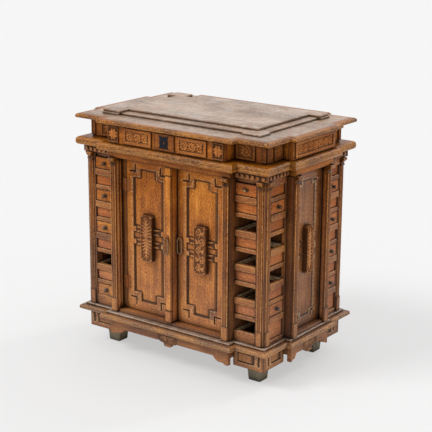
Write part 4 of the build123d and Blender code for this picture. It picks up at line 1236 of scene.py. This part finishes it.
def apron(heap, low, high):
    """Shaped apron under a bay, with leaves carved on its pendant, or a plain return."""
    size = high - low
    if abs(low[2] - APRON_Z) > MM:
        return        # brackets and pendants are part of the shaped boards
    if size[:2].max() < 100 * MM:
        worked_board(heap, low, high)
        return
    turn, spot, width, height, depth = face_of(low, high)
    across, _, out = facing(turn)
    us = np.linspace(0, width, int(width / (1.4 * MM)))
    drop = apron_edge(us, width, 50 * MM if turn in (0, 180) else 27 * MM, 32 * MM)
    v = (height + drop) * np.linspace(0, 1, 26)[:, None]
    u = np.broadcast_to(us, v.shape)
    middle = width / 2
    strokes = []
    for way in (-1, 1):
        for number in range(4):
            base = (middle + way * 2 * number * MM, 12 * MM)
            tip = (middle + way * (6 + 7 * number) * MM, (30 - 3.4 * number) * MM)
            strokes.append(leaf(base, tip, -0.25 * way, 2.4 * MM))
    sink = 2.4 * MM
    ground = (abs(u - middle) < 34 * MM) & (v > 3 * MM) & (v < 36 * MM)
    tall = np.where(ground, sink * raised(u, v - 2 * MM, strokes) - sink, 0.0)
    points = spot + u[..., None] * across + tall[..., None] * out
    points[..., 2] = high[2] - v
    top, foot = points[0] - out * depth, points[-1] - out * depth
    surface = np.stack([top, *points, foot, top])[::-1]
    uv = pairs(us, np.linspace(0, 0.07, len(surface))[:, None])
    wear_and_painted_light = np.where(tall < -1.6 * MM, -0.5, np.where(ground, 0.5, 0.0))
    heap.sheet(surface, uv, 0.4, np.pad(wear_and_painted_light, ((1, 2), (0, 0)), mode="edge")[::-1])
    for column, order in ((0, [0, 3, 2, 1]), (-1, [0, 1, 2, 3])):
        ends = np.stack([top[column], foot[column], points[-1, column], points[0, column]])
        heap.add(ends, np.array([order]), ends[:, [0, 2]], 0.4)


# ---------------------------------------------------------------- drawers and lock
# Turned profiles: radius and distance from the face, in mm.
BRASS_KNOB = [(2.1, 0.2), (1.9, 3.2), (3.4, 5.0), (3.9, 6.6), (3.2, 8.2), (1.4, 9.0), (0.02, 9.1)]
WOOD_KNOB = [(5.6, 0.0), (5.6, 0.9), (4.9, 1.5), (3.0, 1.9), (2.5, 3.4), (3.1, 4.8), (5.2, 6.4),
             (5.9, 8.3), (5.6, 10.2), (4.2, 11.8), (2.2, 12.5), (1.9, 12.9), (1.0, 12.98),
             (0.02, 13.0)]
NAIL_HEAD = [(1.5, 0), (1.3, 0.3), (0.8, 0.48), (0.02, 0.5)]
BRASS_KNOB_DRAWER = "right_front_drawer_5"


def stepped_face(heap, spot, turn, size, border, depth, tint, height, wear_and_painted_light=None, upright=True):
    """Face whose height, and wear if given, follow the distance from its nearest edge."""
    width, tall = size
    us = stepped_lines([border, width - border], 0, width)
    vs = stepped_lines([border, tall - border], 0, tall)
    edge = to_edge(*np.meshgrid(us, vs), width, tall)
    carved_face(heap, spot, turn, us, vs, height(edge), depth, tint, upright,
                wear_and_painted_light=wear_and_painted_light and wear_and_painted_light(edge))


def eased_height(edge):
    """A drawer front drops at its very edge."""
    return np.where(edge < 0.2 * MM, -0.8 * MM, np.where(edge < 0.8 * MM, -0.3 * MM, 0.0))


def edge_darkening(edge):
    """Darkening that fades within 3 mm of the edge."""
    return -np.clip(1.3 - edge / (2.4 * MM), 0, 1)


def plate_height(edge):
    """A thin rim round a lower field."""
    return np.where(edge < 2 * MM, 0.0, -0.5 * MM)


def drawer_pieces(node):
    """Drawer front with its turned knob, and the thin box behind it."""
    body = f"{node}_box"
    boards = {"knob": [], "front": [], "box": []}
    for low, high in solids(node):
        small, tall = (high - low).max() < 20 * MM, (high - low)[2] > 32 * MM
        boards["knob" if small else "front" if tall else "box"].append((low, high))
    turn, spot, width, height, depth = face_of(*boards["front"][-1])
    across, up, out = facing(turn)
    front, box, knob = Heap(), Heap(), Heap()
    stepped_face(front, spot, turn, (width, height), 3 * MM, depth, rng.random(), eased_height,
                 edge_darkening, upright=False)
    for low, high in boards["box"]:
        worked_board(box, low + (0, 0, 0.15 * MM), high, 0.8 * MM, edge=1.3)
    low, high = boards["knob"][-1]
    middle = (low + high) / 2 - out * abs((high - low) @ out) / 2
    middle = middle + out * max(0.0, (spot - middle) @ out)
    if node == BRASS_KNOB_DRAWER:
        plate = np.array([17 * MM, 9 * MM])
        corner = middle - (across * plate[0] / 2 + up * plate[1] / 2) + out * 0.8 * MM
        stepped_face(knob, corner, turn, plate, 2 * MM, 1.5 * MM, 0.3, plate_height)
        brass = Heap()
        turned(brass, middle, out, BRASS_KNOB, 0.5)
        brass.build(f"{node}_brass", body, OLD_BRASS, "iron")
    else:
        turned(knob, middle, out, WOOD_KNOB, 0.5)
    wood = CASE_OAK if spot[0] < -0.1 else RED_OAK
    front_piece = front.build(f"{node}_front", body, wood, "drawer_wood")
    knob.build(f"{node}_knob", body, KNOB_WOOD, "drawer_wood")
    box.build(f"{node}_sides", body, INNER_OAK, "drawer_wood")
    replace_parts(front_piece, node)


def lock_irons():
    """Escutcheon with a ragged outline, a keyhole and nails, and the plain lock case behind.

    The escutcheon runs from the keyhole's outline to its own, a square less eight and five
    waves round it; the plate is 1.2 mm thick with shallow hammered bumps.
    """
    heap = Heap()
    (low, high), case = sorted(solids("lock"), key=lambda box: box[0][1])
    width, height = high[0] - low[0], high[2] - low[2]
    middle_z = (low[2] + high[2]) / 2
    radial = np.linspace(0, 1, 12)[:, None]
    angle = np.linspace(0, 2 * math.pi, 97)
    c, s = np.cos(angle), np.sin(angle)
    square = 1 / np.maximum(abs(c), abs(s))
    ragged = 0.90 + 0.07 * np.cos(8 * angle) + 0.03 * np.cos(5 * angle + 1)
    reach = 0.92 * np.minimum(square * ragged, square)
    hole_u = 2.3 * MM * c * (1 - 0.35 * (s < -0.2))
    hole_v = np.where(s < 0, 7 * MM, 2.6 * MM) * s
    u = hole_u + radial * (width / 2 * reach * c - hole_u)
    v = hole_v + radial * (height / 2 * reach * s - hole_v)
    bumps = 0.35 * MM * np.sin(9 * angle) * np.sin(math.pi * radial)
    out = np.where(radial > 0.97, 0.0, 1.2 * MM + bumps * 0.6)
    out[0] = 0.0
    heap.sheet(np.stack([u, high[1] - out, v + middle_z], -1), pairs(u, v), 0.5, flip=True)
    for su in (-1, 1):
        for sv in (-1, 1):
            nail_z = middle_z + sv * 0.36 * height
            spot = np.array([su * 0.34 * width, high[1] - 1.0 * MM, nail_z])
            turned(heap, spot, (0, -1, 0), NAIL_HEAD, 0.8, 10)
    worked_board(heap, *case, 0.5 * MM)
    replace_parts(heap.build("lock_plate", "case", LOCK_IRON, "iron"), "lock")


# ---------------------------------------------------------------- the cabinet
# posts, stiles and rails take the darker copy of the oak as painted shade
for node in "tower_stiles bay_posts bay_rails base_blocks corner_posts".split():
    board_piece(node, "case", SHADED_POST_OAK, "oak")
# the case walls take the darker copy of the oak as painted shade
board_piece("case_walls", "case", SHADED_CORNER_OAK, "oak")
board_piece("frieze_boards", "case", CASE_OAK, "oak")
board_piece("tower_rails", "case", SHADED_POST_OAK, "oak", ease=1.6 * MM, edge=0.6)
board_piece("head_rails", "case", CASE_OAK, "oak")
board_piece("tower_panels", "case", RED_OAK, "drawer_wood")
post_reveals()
board_piece("tower_runners", "case", INNER_OAK, "inner_wood", ease=1.2 * MM, edge=1.5)
board_piece("cupboard_shelf", "case", INNER_OAK, "inner_wood")
board_piece("compartment_floor", "case", INNER_OAK, "inner_wood")
board_piece("astragal", "left_door", CASE_OAK, "oak")
base_mouldings()
cornice()
lid_plates()
piece_of("frieze_carvings", "frieze_carving", "case", CARVED_OAK, "oak", frieze_block)
carved_blocks("left_door_boss", "left_door_leaves", "left_door", [leafy])
carved_blocks("right_door_boss", "right_door_scrolls", "right_door", [paired_scrolls])
carved_blocks("fixed_bosses", "side_blocks", "case", [leafy, paired_scrolls])
door_front(-1)
door_front(1)
side_panels()
piece_of("pilasters", "pilaster_shafts", "case", CASE_OAK, "oak", pilaster)
piece_of("capitals", "consoles", "case", NOSE_OAK, "oak", console)
piece_of("dentils", "dentil_rows", "case", SHADED_POST_OAK, "oak", dentil_row)
piece_of("feet", "feet_blocks", "case", FOOT_OAK, "foot_wood", foot_block)
piece_of("plinth", "plinth_faces", "case", SHADED_POST_OAK, "oak", plinth_board)
piece_of("aprons", "apron_boards", "case", SHADED_POST_OAK, "oak", apron)
lock_irons()
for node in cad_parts:
    if "_drawer_" in node:
        drawer_pieces(node)
for node in "hinge_leaves lid_irons left_door_irons right_door_irons left_bail right_bail".split():
    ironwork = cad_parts[node].data.materials
    ironwork.clear()
    ironwork.append(BAIL_BRONZE if "bail" in node else DARK_IRON)


# ---------------------------------------------------------------- floor, light and camera
def plain_floor():
    """Wide pale floor; what the camera sees of it is its shading mixed with an even white."""
    material = bpy.data.materials.new("pale_floor")
    mix = Finish(material)
    seen = mix.make("LightPath", "Is Camera Ray")
    white = mix.make("Emission", 0, {"Strength": 0.88})
    lit = mix.make("MixShader", 0, {0: mix.times(seen, 0.55), 1: mix.shader.outputs[0], 2: white})
    mix.feed(mix.tree.nodes["Material Output"], {"Surface": lit})
    mix.feed(mix.shader, {"Base Color": (0.86, 0.86, 0.86), "Roughness": 0.9,
                          "Specular IOR Level": 0.1})
    reach = 30.0
    mesh = bpy.data.meshes.new("floor")
    corners = [(-reach, -reach, 0), (reach, -reach, 0), (reach, reach, 0), (-reach, reach, 0)]
    mesh.from_pydata(corners, [], [(0, 1, 2, 3)])
    mesh.materials.append(material)
    floor = place("floor", mesh)


def broad_light(name, azimuth, elevation, strength, spread):
    """Far lamp as wide as spread degrees for soft shadows; azimuth turns from the front."""
    data = bpy.data.lights.new(name, "SUN")
    data.energy = strength
    data.angle = math.radians(spread)
    a, e = math.radians(azimuth), math.radians(elevation)
    towards = Vector((math.sin(a) * math.cos(e), -math.cos(a) * math.cos(e), math.sin(e)))
    place(name, data).rotation_euler = towards.to_track_quat("Z", "Y").to_euler()


def pale_world():
    """Even light from all round, near white where the camera or a gloss sees it."""
    world = bpy.data.worlds.new("pale_world")
    bpy.context.scene.world = world
    mix = Finish(world, "Background")
    path = mix.make("LightPath", 0).node
    seen = mix.maths("MAXIMUM", path.outputs["Is Camera Ray"], path.outputs["Is Glossy Ray"])
    strength = mix.make("Mix", 0, {0: seen, 2: 0.5, 3: 0.93}, data_type="FLOAT")
    mix.feed(mix.shader, {"Color": (1, 1, 1), "Strength": strength})


def set_camera():
    """Camera from the front right and a little above, with its long lens turned by a hair."""
    data = bpy.data.cameras.new("camera")
    data.sensor_fit = "HORIZONTAL"
    data.sensor_width = 36
    data.lens = 104.74
    data.clip_end = 100
    camera = place("camera", data)
    bpy.context.scene.camera = camera
    look = Vector((-0.57066, 0.77548, -0.27014)).normalized()
    heading, roll = math.radians(36.35), math.radians(0.366)
    level = Vector((math.cos(heading), math.sin(heading), 0))
    rise = level.cross(look)
    across = level * math.cos(roll) + rise * math.sin(roll)
    up = rise * math.cos(roll) - level * math.sin(roll)
    turn = Matrix((across, up, -look)).transposed()
    camera.matrix_world = Matrix.Translation((2.0108, -2.7260, 1.3320)) @ turn.to_4x4()


bpy.context.scene.view_settings.view_transform = "Standard"
plain_floor()
pale_world()
broad_light("overhead", 150, 72, 0.62, 60)
broad_light("front", -35, 48, 1.5, 24)
broad_light("back", 160, 36, 0.5, 8)
set_camera()
